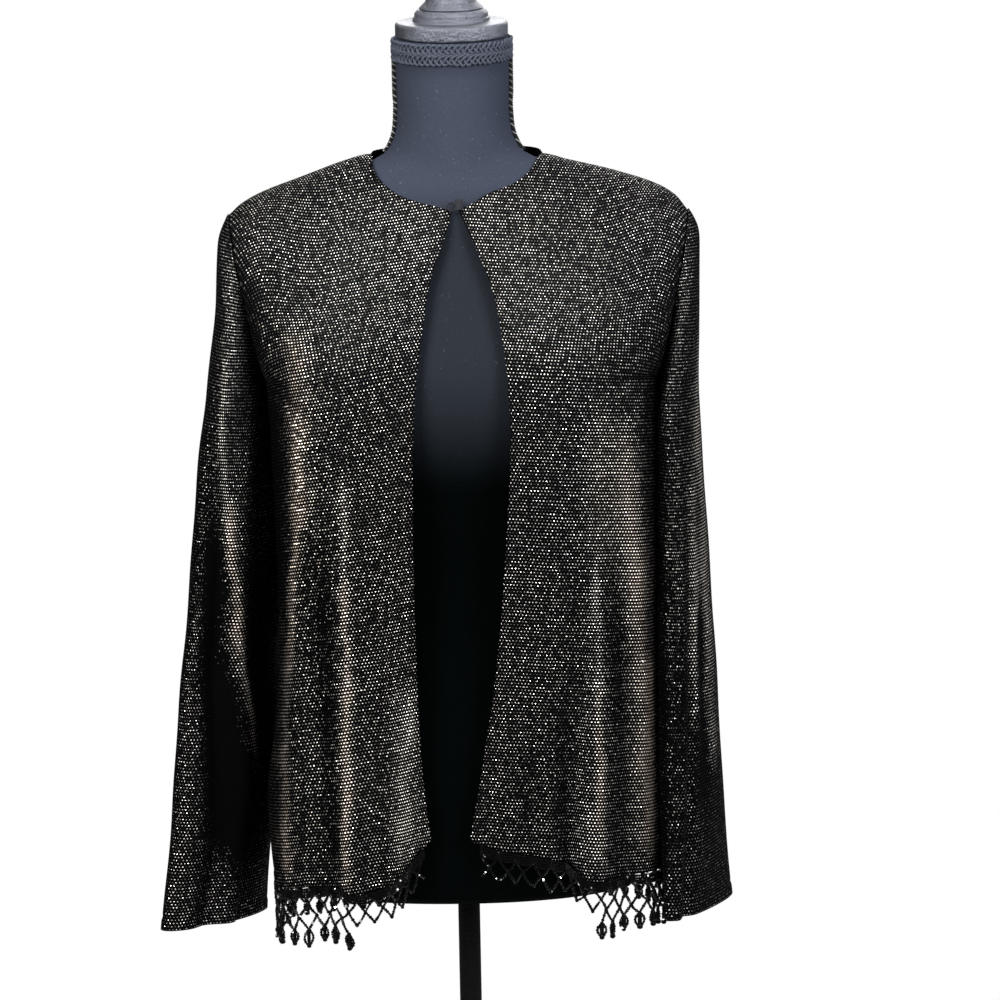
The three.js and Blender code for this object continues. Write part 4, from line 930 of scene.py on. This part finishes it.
def makeFront(side, name, node, values):
    columns, rows = gridSize(values)
    across, up = np.meshgrid(np.linspace(0, 1, columns), np.linspace(0, 2, rows))
    x, y, z = bodySurface(side, across, up, -1)
    points = np.stack([x, y, z], -1)
    # The upper front keeps its stitches level and even in front view, as the photograph shows them.
    upper = ease(values["upperFrom"], values["upperTo"], z)
    out = side["sign"] * x
    fromMiddle = mix(arcLengths(points, 1) + out[:, :1], out * (1 + values["chestPack"]), upper)
    step = np.diff(points, axis=0)
    rising = np.maximum(np.abs(step[..., 2]), np.linalg.norm(step, axis=-1) * values["flattest"])
    level = np.concatenate([x[:1] * 0, np.cumsum(rising, 0)])
    level = (level - level[rows // 2]) * values["rowPack"] + clothValues["lowerLength"]
    length = mix(upLength(points, up), level, upper * (1 - ease(*values["levelUntil"], across)))
    rowLean = fromMiddle * values["lean"][side["sign"] > 0]
    flat = np.stack([fromMiddle * side["sign"], length + rowLean], -1) * millimetre
    shine = shineLift(leftShine if side["sign"] < 0 else rightShine, z, out)
    return knitPiece(name, node, points, flat, glowOf(points, bodyCentre(points)), shine, side["sign"] < 0)


def upLength(points, up):
    # The cloth's length up from the hem, level with the other rows at the underarm.
    length = arcLengths(points, 0)
    middle = np.argmin(np.abs(up[:, 0] - 1))
    length = length - length[middle]
    return np.where(up > 1, length * clothValues["upperPack"], length) + clothValues["lowerLength"]


frontLeft = makeFront(leftSide, "frontLeft", "front_left", frontValues)
frontRight = makeFront(rightSide, "frontRight", "front_right", frontValues)
print("fronts made")

backValues = {"columns": 164, "rows": 180}


def makeBack(values):
    columns, rows = gridSize(values)
    place, up = np.meshgrid(np.linspace(-1, 1, columns), np.linspace(0, 2, rows))
    left = bodySurface(leftSide, np.abs(place), up, 1)
    right = bodySurface(rightSide, np.abs(place), up, 1)
    points = np.stack([np.where(place < 0, a, b) for a, b in zip(left, right)], -1)
    lengths = arcLengths(points, 1)
    middle = (lengths[:, columns // 2 - 1] + lengths[:, columns // 2]) / 2
    flat = np.stack([lengths - middle[:, None], upLength(points, up)], -1) * millimetre
    across = np.sign(place) * quarter(np.abs(place), clothValues["backSquare"])[0]
    shine = shineLift(backShine, points[..., 2], across)
    return knitPiece("backPanel", "back", points, flat, glowOf(points, bodyCentre(points)), shine, True)


back = makeBack(backValues)
print("back made")

# Each sleeve's painted light is scaled: the left by the first number, the right by the second.
sleeveValues = {"columns": 128, "rows": 190, "glow": (0.92, 0.62)}


def makeSleeve(side, sleeve, creases, name, node, values):
    columns, rows = gridSize(values)
    turn, down = np.meshgrid(np.arange(columns) / columns, np.linspace(0, 1, rows) ** 1.2)
    points = np.stack(sleeveSurface(side, sleeve, creases, turn, down), -1)
    around = arcLengths(points, 1)
    length = arcLengths(points, 0)
    flat = np.stack([around, length[-1:] - length], -1) * millimetre
    centre = np.broadcast_to(points.mean(1, keepdims=True), points.shape)
    lines = leftSleeveShine if side["sign"] < 0 else rightSleeveShine
    shine = shineLift(lines, points[..., 2], turn * 360, True)
    glow = glowOf(points, centre) * values["glow"][side["sign"] > 0]
    return knitPiece(name, node, points, flat, glow, shine, side["sign"] < 0, True)


sleeveLeft = makeSleeve(leftSide, leftSleeve, leftSleeveCreases, "sleeveLeft", "sleeve_left", sleeveValues)
sleeveRight = makeSleeve(rightSide, rightSleeve, rightSleeveCreases, "sleeveRight", "sleeve_right",
                         sleeveValues)
print("sleeves made")

# The net hangs from the hem: knots every pitch, levels down from the hem and drops at the low knots.
fringeValues = {"pitch": 16, "inset": 2, "levels": (6, 16.5, 27, 37.5), "gap": 0.6,
                "heads": (1.0, 2.9, 4.8, 6.6), "bead": 1.3, "beadLength": 2.5, "plainCentre": 6,
                "plainHalf": 113, "drop": 12, "alongJitter": (0.3, 1, 1.4, 1.6),
                "downJitter": (0.2, 1, 1.8, 2.4), "offJitter": (0.2, 1, 2, 3)}


def hemCurve(side):
    # Points along the hem of one side's front, or along the back's where no side is given.
    line = np.linspace(0, 1, 900)
    if side:
        return np.stack(bodySurface(side, line, 0 * line, -1, False), -1)
    left = np.stack(bodySurface(leftSide, line[::-1], 0 * line, 1, False), -1)
    right = np.stack(bodySurface(rightSide, line, 0 * line, 1, False), -1)
    return np.concatenate([left, right[1:]])


def makeFringe(curve, flip, name, node, values, seed):
    chance = np.random.default_rng(seed)
    lengths = arcLengths(curve[:, None], 0)[:, 0]
    total = lengths[-1] - 2 * values["inset"]
    repeats = round(total / values["pitch"])
    pitch = total / repeats

    def hang(length, down, off=0.0):
        # Points hanging under the hem at a length along it.
        length = np.clip(length, 0, total) + values["inset"]
        spot = np.stack([np.interp(length, lengths, curve[:, k]) for k in range(3)], -1)
        ahead = np.stack([np.interp(length + 2, lengths, curve[:, k]) for k in range(3)], -1)
        behind = np.stack([np.interp(length - 2, lengths, curve[:, k]) for k in range(3)], -1)
        run = ahead - behind
        run /= np.maximum(np.hypot(run[..., 0], run[..., 1]), 1e-9)[..., None]
        outward = np.stack([run[..., 1], -run[..., 0], 0 * run[..., 0]], -1) * flip
        return spot + outward * np.asarray(off)[..., None] - np.stack(
            [0 * down, 0 * down, values["gap"] + down], -1)

    def within(knot, margin):
        return (knot >= margin) & (knot <= 2 * repeats - margin)

    half = np.arange(2 * repeats + 1)
    levels = np.array(values["levels"])
    size = (len(half), len(levels))
    knotLength = half[:, None] * pitch / 2 + chance.normal(0, 0.5, size) * values["alongJitter"]
    knotDown = levels + chance.normal(0, 0.5, size) * values["downJitter"]
    knotOff = chance.normal(0, 0.5, size) * values["offJitter"]
    knots = hang(knotLength, knotDown, knotOff)
    plain = (np.abs(knots[:, 0, 0] - values["plainCentre"]) < values["plainHalf"]) & (knots[:, 0, 1] < 0)
    strands = []  # each is (start, middle, end)
    for level in range(3):
        for step in (-1, 1):
            first = half[(half % 2 == (1 - level % 2)) & within(half + step, 1)]
            if level > 0:
                first = first[within(first, level + 1)]
            if level == 2:
                first = first[~plain[first]]
            start, end = knots[first, level], knots[first + step, level + 1]
            bow = chance.normal(0, 0.5, start.shape) + [0, 0, -0.5]
            strands.append(np.stack([start, (start + end) / 2 + bow, end], 1))
    heads = half[half % 2 == 1]
    for down in values["heads"]:
        start = hang(heads[:-1] * pitch / 2, np.full(len(heads) - 1, down), 0.6)
        end = hang(heads[1:] * pitch / 2, np.full(len(heads) - 1, down), 0.6)
        sag = (start + end) / 2 - [0, 0, 0.35 * down]
        strands.append(np.stack([start, sag, end], 1))
    low = half[(half % 2 == 0) & within(half, 2)]
    above = half[~plain & (half % 2 == 1) & within(half, 3)]
    low = low[np.isin(low + 1, above) | np.isin(low - 1, above)]
    top = knots[low, 3]
    spread = 1.7 + chance.random(len(low)) * 1.2
    drop = values["drop"] + chance.normal(0, 1.2, len(low))
    for step in (-1, 1):
        side = hang(knotLength[low, 3] + step * spread, knotDown[low, 3] + drop * 0.5, knotOff[low, 3])
        tip = hang(knotLength[low, 3] + step * 0.8, knotDown[low, 3] + drop, knotOff[low, 3])
        strands.append(np.stack([top, side * 2 - (top + tip) / 2, tip], 1))
    strands = np.concatenate(strands)
    # Beads follow each strand's bow, closer than their own length.
    reach = np.linalg.norm(strands[:, 2] - strands[:, 0], axis=1)
    count = np.maximum(2, np.round(reach * 1.06 / values["beadLength"])).astype(int)
    owner = np.repeat(np.arange(len(strands)), count)
    order = np.arange(len(owner)) - np.repeat(np.cumsum(count) - count, count)

    def onStrand(part):
        a, b, c = (strands[owner, k] for k in range(3))
        control = 2 * b - (a + c) / 2
        part = part[:, None]
        return a * (1 - part) ** 2 + 2 * control * part * (1 - part) + c * part ** 2

    starts, ends = onStrand(order / count[owner]), onStrand((order + 1) / count[owner])
    radii = values["bead"] * (0.8 + chance.random(len(owner)) * 0.45)
    longStart = knots[low, 3] - [0, 0, 1.2]
    longEnd = hang(knotLength[low, 3], knotDown[low, 3] + drop * 0.92, knotOff[low, 3])
    tipStart = longEnd + [0, 0, 0.6]
    tipEnd = longEnd - [0, 0, 3.6]
    inside = within(half, 2)
    knotted = np.concatenate([knots[inside & (half % 2 == 0), 1], knots[inside & (half % 2 == 1), 2],
                              knots[low, 3]])
    starts = np.concatenate([starts, longStart, tipStart, knotted + [0, 0, 1.5]])
    ends = np.concatenate([ends, longEnd, tipEnd, knotted - [0, 0, 1.5]])
    radii = np.concatenate([radii, 1.5 + chance.random(len(low)), 2.0 + chance.random(len(low)) * 0.8,
                            np.full(len(knotted), 1.6)])
    points, quads, caps = beads(starts, ends, radii)
    number = np.repeat(chance.random(len(starts)), len(points) // len(starts))
    faces = np.concatenate([quads, caps[:, [0, 1, 2, 3]], caps[:, [3, 4, 5, 0]]])
    finishPiece(facesMesh(name, points, faces, {"bead": number}, False), beadGlass, node)


makeFringe(hemCurve(leftSide), -1, "fringeFrontLeft", "fringe_front_left", fringeValues, 5)
makeFringe(hemCurve(rightSide), 1, "fringeFrontRight", "fringe_front_right", fringeValues, 6)
makeFringe(hemCurve(None), -1, "fringeBack", "fringe_back", fringeValues, 7)
print("fringe made")

# The form's neck top leans back; its measures are in millimetres, from its centre.
neckValues = {"y": -6, "height": 1538, "tilt": 9, "half": 52.3, "front": 54, "back": 52, "columns": 180,
              "low": -30, "top": -0.4}


def onNeckTop(x, y, up):
    # Places on the leaning neck top, in the frame of the whole.
    lean = math.radians(neckValues["tilt"])
    x, y, up = np.broadcast_arrays(x, y, up)
    return np.stack([x, neckValues["y"] + y * math.cos(lean) - up * math.sin(lean),
                     neckValues["height"] + y * math.sin(lean) + up * math.cos(lean)], -1)


def neckRing(grow, up, angle):
    # An oval ring round the neck, grow outside it and up from its top.
    depth = np.where(np.sin(angle) < 0, neckValues["front"], neckValues["back"])
    return onNeckTop((neckValues["half"] + grow) * np.cos(angle), (depth + grow) * np.sin(angle), up)


# Heights of the form's rings, from one to another and how many, and the rings above them on the neck.
formRings = {"foot": (745, 760, 8), "body": (766, 1475, 150), "neck": 9}


def makeForm():
    angle = turns(neckValues["columns"])
    height = np.concatenate([np.linspace(*formRings["foot"]), np.linspace(*formRings["body"])])[:, None]
    section = {key: readTable(formSections, "height", height, key)
               for key in ("half", "front", "back", "square")}
    power = 2 / section["square"]
    wide, deep = np.cos(angle), np.sin(angle)
    x = section["half"] * np.sign(wide) * np.abs(wide) ** power
    y = np.where(deep < 0, section["front"], section["back"]) * np.sign(deep) * np.abs(deep) ** power
    rings = np.stack([x, y, np.broadcast_to(height, x.shape)], -1)
    low, high = neckRing(0, neckValues["low"], angle), neckRing(0, neckValues["top"], angle)
    parts = np.linspace(0, 1, formRings["neck"])[1:, None, None]
    rings = np.concatenate([rings, mix(rings[-1], low, parts), mix(low, high, parts)])
    torso = gridMesh("dressForm", rings, closed=True, caps=True)
    return finishPiece(torso, jersey, "dress_form")


form = makeForm()


def strandTube(path, radius, sides, closed=False):
    # A tube's rings along a path (n, 3).
    ahead = np.roll(path, -1, 0) - np.roll(path, 1, 0)
    if not closed:
        ahead[0], ahead[-1] = path[1] - path[0], path[-1] - path[-2]
    ahead /= np.linalg.norm(ahead, axis=1, keepdims=True)
    return path[:, None] + radius * spokes(ahead, sides, 2, 0.9)


def tubeFaces(rings, sides, closed, start):
    index = np.arange(rings * sides).reshape(rings, sides) + start
    if closed:
        index = np.concatenate([index, index[:1]])
    turned = np.roll(index, -1, axis=1)
    return np.stack([index[:-1], turned[:-1], turned[1:], index[1:]], -1).reshape(-1, 4)


def joinTubes(name, tubeList, closed):
    # One mesh from tubes that are closed to rings, or capped at their ends.
    points, faces, start = [], [], 0
    for tube in tubeList:  # a few strands
        rings, sides = tube.shape[:2]
        faces.append(tubeFaces(rings, sides, closed, start))
        if not closed:
            base = start + np.arange(sides)
            last = start + (rings - 1) * sides + np.arange(sides)
            middle = np.arange(1, sides - 1)
            faces.append(np.stack([base[middle + 1], base[middle], base[0 * middle], base[0 * middle]], -1))
            faces.append(np.stack([last[0 * middle], last[middle], last[middle + 1], last[middle + 1]], -1))
        points.append(tube.reshape(-1, 3))
        start += rings * sides
    return facesMesh(name, np.concatenate(points), np.concatenate(faces))


# Two plaited rows of loops round the neck, with two fine cords between them, on a flat backing.
braidValues = {"waves": 21, "strands": 3, "steps": 880, "thick": 1.25, "rows": (-15.0, -5.2), "swing": 4.0,
               "out": 2.3, "outSwing": 0.8, "fineThick": 0.9, "fineUp": -10.6, "fineOut": 3.0,
               "backing": ((0.35, -18.5), (1.4, -18.5), (1.4, -2.6), (0.35, -2.6)), "backingColumns": 160}


def makeBraid(values):
    turn = turns(values["steps"] // (1))
    strands = []
    for row, centre in enumerate(values["rows"]):
        for k in range(values["strands"]):
            phase = k / values["strands"] * 2 * math.pi + row * 0.7
            unsteady = 0.35 * np.sin(turn * 13 + k) + 0.3 * np.sin(turn * 37 + 2 * k + row)
            swing = values["swing"] + unsteady
            up = centre + swing * np.sin(values["waves"] * turn + phase + 0.3 * unsteady)
            off = values["out"] + values["outSwing"] * np.sin(2 * (values["waves"] * turn + phase))
            strands.append(strandTube(neckRing(off, up, turn), values["thick"], 6, True))
    for k in range(2):
        wave = values["waves"] * 1.5 * turn + k * math.pi
        off, up = values["fineOut"] + 0.4 * np.cos(wave), values["fineUp"] + 0.9 * np.sin(wave)
        strands.append(strandTube(neckRing(off, up, turn), values["fineThick"], 6, True))
    finishPiece(joinTubes("neckBraid", strands, True), gimp, "neck_braid")
    section, angle = values["backing"], turns(values["backingColumns"])
    rings = np.stack([neckRing(off, up, angle) for off, up in section + section[:1]])
    backing = gridMesh("neckBraidBacking", rings[::-1], closed=True)
    finishPiece(backing, gimp, "neck_braid")


makeBraid(braidValues)


def smoothPath(corners, count):
    # A rounded path through points, by chord length.
    corners = np.array(corners, float)
    length = arcLengths(corners[:, None], 0)[:, 0]
    table = {"at": length.tolist()}
    at = np.linspace(0, length[-1], count)
    axes = []
    for k in range(3):
        table["value"] = corners[:, k].tolist()
        axes.append(readTable(table, "at", at, "value"))
    return np.stack(axes, -1)


# Three strands twisted round each other, down the form's side seam from the neck top.
cordValues = {"out": 1.6, "ups": (-18, -26, -38, -50), "heights": (1478, 1466, 1456, 1449, 1443, 1438, 1434),
              "y": -3, "steps": 260, "lay": 7.5, "strands": 3, "shift": 1.5, "thick": 0.85}


def makeCord(sign, name, node, values):
    corners = [onNeckTop(sign * (neckValues["half"] + values["out"]), 0, up) for up in values["ups"]]
    for height in values["heights"]:
        half = readTable(formSections, "height", height, "half")
        corners.append(np.array([sign * (float(half) + values["out"]), values["y"], height]))
    path = smoothPath(corners, values["steps"])
    turn = arcLengths(path[:, None], 0)[:, 0] / values["lay"] * 2 * math.pi
    strands = []
    for k in range(values["strands"]):
        angle = turn + k * 2 * math.pi / values["strands"]
        shift = np.stack([np.cos(angle), np.sin(angle), 0 * angle], -1) * values["shift"]
        strands.append(strandTube(path + shift, values["thick"], 8))
    finishPiece(joinTubes(name, strands, False), darkGimp, node)


makeCord(-1, "neckCordLeft", "neck_cord_left", cordValues)
makeCord(1, "neckCordRight", "neck_cord_right", cordValues)


def softCorners(profile, rounds=2, part=0.12):
    # Cuts each corner of a profile so that it shades as a small round.
    profile = np.array(profile, float)
    for _ in range(rounds):
        step = np.diff(profile, axis=0)
        length = np.linalg.norm(step, axis=1, keepdims=True)
        cut = np.minimum(part, 1.2 / np.maximum(length, 1e-6))
        near, far = profile[:-1] + step * cut, profile[1:] - step * cut
        inner = np.stack([near, far], 1).reshape(-1, 2)
        profile = np.concatenate([profile[:1], inner, profile[-1:]])
    return profile


def makeTurned(name, node, profile, material, leaning=True, columns=96):
    # A turned piece from (radius, up) pairs, closed on its axis.
    profile = softCorners([(0.01, profile["up"][0])] + list(zip(profile["radius"], profile["up"]))
                          + [(0.01, profile["up"][-1])])
    x, y = (profile[:, :1] * wave for wave in (np.cos(turns(columns)), np.sin(turns(columns))))
    up = np.broadcast_to(profile[:, 1:], x.shape)
    points = onNeckTop(x, y, up) if leaning else np.stack([x, y, up], -1)
    finishPiece(gridMesh(name, points, closed=True, caps=True), material, node)


poleProfile = {"up": [48.6, 744.7], "radius": [10.3, 10.3]}
collarProfile = {"up": [14.3, 31.3, 48.3], "radius": [24, 24, 15.3]}
baseProfile = {"up": [0, 0, 2, 10, 14], "radius": [178, 178, 180, 180, 176]}
makeTurned("neckCap", "neck_cap", capProfile, capPaint)
makeTurned("finialKnob", "finial", finialProfile, finialPaint)
makeTurned("standPole", "pole", poleProfile, poleMetal, False)
makeTurned("standCollar", "stand_collar", collarProfile, poleMetal, False)
makeTurned("standBase", "stand_base", baseProfile, poleMetal, False, 180)
print("form and stand made")

hookValues = {"place": (4.6, -78.2, 1385), "wide": 7, "high": 11, "wall": 1.4, "lean": 24, "square": 5,
              "sides": 48, "layers": ((0.02, 0), (0.93, 0), (1, 0.25), (1, 0.75), (0.93, 1), (0.02, 1)),
              "loopPlace": (-2.2, -79.6, 1383), "loopRadius": 3.9, "loopWire": 0.8, "loopSteps": 80}


def makeHook(values):
    # A flat tab of folded tape: a rounded slab, leaning with the neckline. The loop is a ring beside it.
    angle, power = turns(values["sides"]), 2 / values["square"]
    x = values["wide"] / 2 * np.sign(np.cos(angle)) * np.abs(np.cos(angle)) ** power
    up = values["high"] / 2 * np.sign(np.sin(angle)) * np.abs(np.sin(angle)) ** power
    lean = math.radians(values["lean"])
    layers = []
    for scale, deep in values["layers"]:
        y = values["wall"] * (deep - 1)
        layers.append(np.stack([x * scale + values["place"][0],
                                y + values["place"][1] + up * scale * math.sin(lean),
                                up * scale * math.cos(lean) + values["place"][2]], -1))
    hook = gridMesh("neckHook", np.stack(layers)[::-1], closed=True, caps=True)
    finishPiece(hook, threadCloth, "neck_hook")
    turn = turns(values["loopSteps"])
    wide, high = values["loopRadius"] * np.cos(turn), values["loopRadius"] * np.sin(turn)
    path = np.stack([wide + values["loopPlace"][0], values["loopPlace"][1] + high * math.sin(lean),
                     values["loopPlace"][2] + high * math.cos(lean)], -1)
    loop = joinTubes("neckLoop", [strandTube(path, values["loopWire"], 8, True)], True)
    finishPiece(loop, threadCloth, "neck_loop")


makeHook(hookValues)
print("hook and loop made")


# Five soft boxes: two in front, one behind, one above and one at the right. Metres and watts.
lightValues = {"key": {"place": (-1.8, -2.8, 2.4), "size": 1.7, "power": 245, "colour": (1.0, 0.98, 0.95)},
               "fill": {"place": (2.1, -2.5, 2.3), "size": 1.5, "power": 178, "colour": (0.98, 0.98, 1.0)},
               "rim": {"place": (0.3, 2.6, 3.2), "size": 2.0, "power": 60, "colour": (1.0, 1.0, 1.0)},
               "top": {"place": (-0.1, -0.9, 3.4), "size": 1.6, "power": 84, "colour": (1.0, 0.99, 0.97)},
               "side": {"place": (3.0, 0.5, 1.7), "size": 1.4, "power": 45, "colour": (0.98, 0.98, 1.0)},
               "ambient": 0.09}


def makeLight(name, values):
    lamp = bpy.data.lights.new(name, "AREA")
    lamp.shape = "SQUARE"
    lamp.size = values["size"]
    lamp.energy = values["power"]
    lamp.color = values["colour"]
    thing = link(name, lamp)
    thing.location = values["place"]
    aim = Vector((0, 0, 1.15)) - Vector(values["place"])
    thing.rotation_euler = aim.to_track_quat("-Z", "Y").to_euler()


for lightName in ("key", "fill", "rim", "top", "side"):
    makeLight(lightName, lightValues[lightName])


def makeWorld(values):
    # White behind the object, and a dimmer even light on it.
    world = bpy.data.worlds.new("studio")
    bpy.context.scene.world = world
    world.use_nodes = True
    tree = world.node_tree
    background = tree.nodes["Background"]
    paths = tree.nodes.new("ShaderNodeLightPath")
    strength = tree.nodes.new("ShaderNodeMapRange")
    tree.links.new(paths.outputs["Is Camera Ray"], strength.inputs["Value"])
    strength.inputs["To Min"].default_value = values["ambient"]
    strength.inputs["To Max"].default_value = 1.0
    background.inputs["Color"].default_value = (1, 1, 1, 1)
    tree.links.new(strength.outputs[0], background.inputs["Strength"])


makeWorld(lightValues)


floorValues = {"radii": (1, 700, 1400, 2000), "columns": 96, "drop": 1.0, "dark": (0.8, 0.8, 0.8),
               "pale": (0.84, 0.84, 0.84), "rough": 0.9}


def makeFloor(values):
    # colour = dark to pale by slow noise
    angle = turns(values["columns"])
    rings = [np.stack([radius * np.cos(angle), radius * np.sin(angle), 0 * angle - values["drop"]], -1)
             for radius in values["radii"]]
    floor = gridMesh("floor", np.stack(rings), closed=True)
    s = Surface("floorPaint")
    cloud = s.noise(s.place(), 2)
    floor.data.materials.append(s.set(Base_Color=s.blend(cloud, values["dark"], values["pale"]),
                                      Roughness=values["rough"]))


makeFloor(floorValues)


def makeCamera(values):
    pitch, roll = math.radians(values["pitch"]), math.radians(values["roll"])
    forward = Vector((0, math.cos(pitch), -math.sin(pitch)))
    level = Vector((1, 0, 0))
    upright = Vector((0, math.sin(pitch), math.cos(pitch)))
    right = math.cos(roll) * level - math.sin(roll) * upright
    up = math.sin(roll) * level + math.cos(roll) * upright
    lens = bpy.data.cameras.new("camera")
    lens.lens = values["lens"]
    lens.sensor_width = 36
    lens.clip_start, lens.clip_end = 0.1, 60
    camera = link("camera", lens)
    turned = Matrix((right, up, -forward)).transposed().to_4x4()
    camera.matrix_world = Matrix.Translation(Vector(values["place"]) * millimetre) @ turned
    bpy.context.scene.camera = camera


makeCamera(cameraValues)
print("camera set")
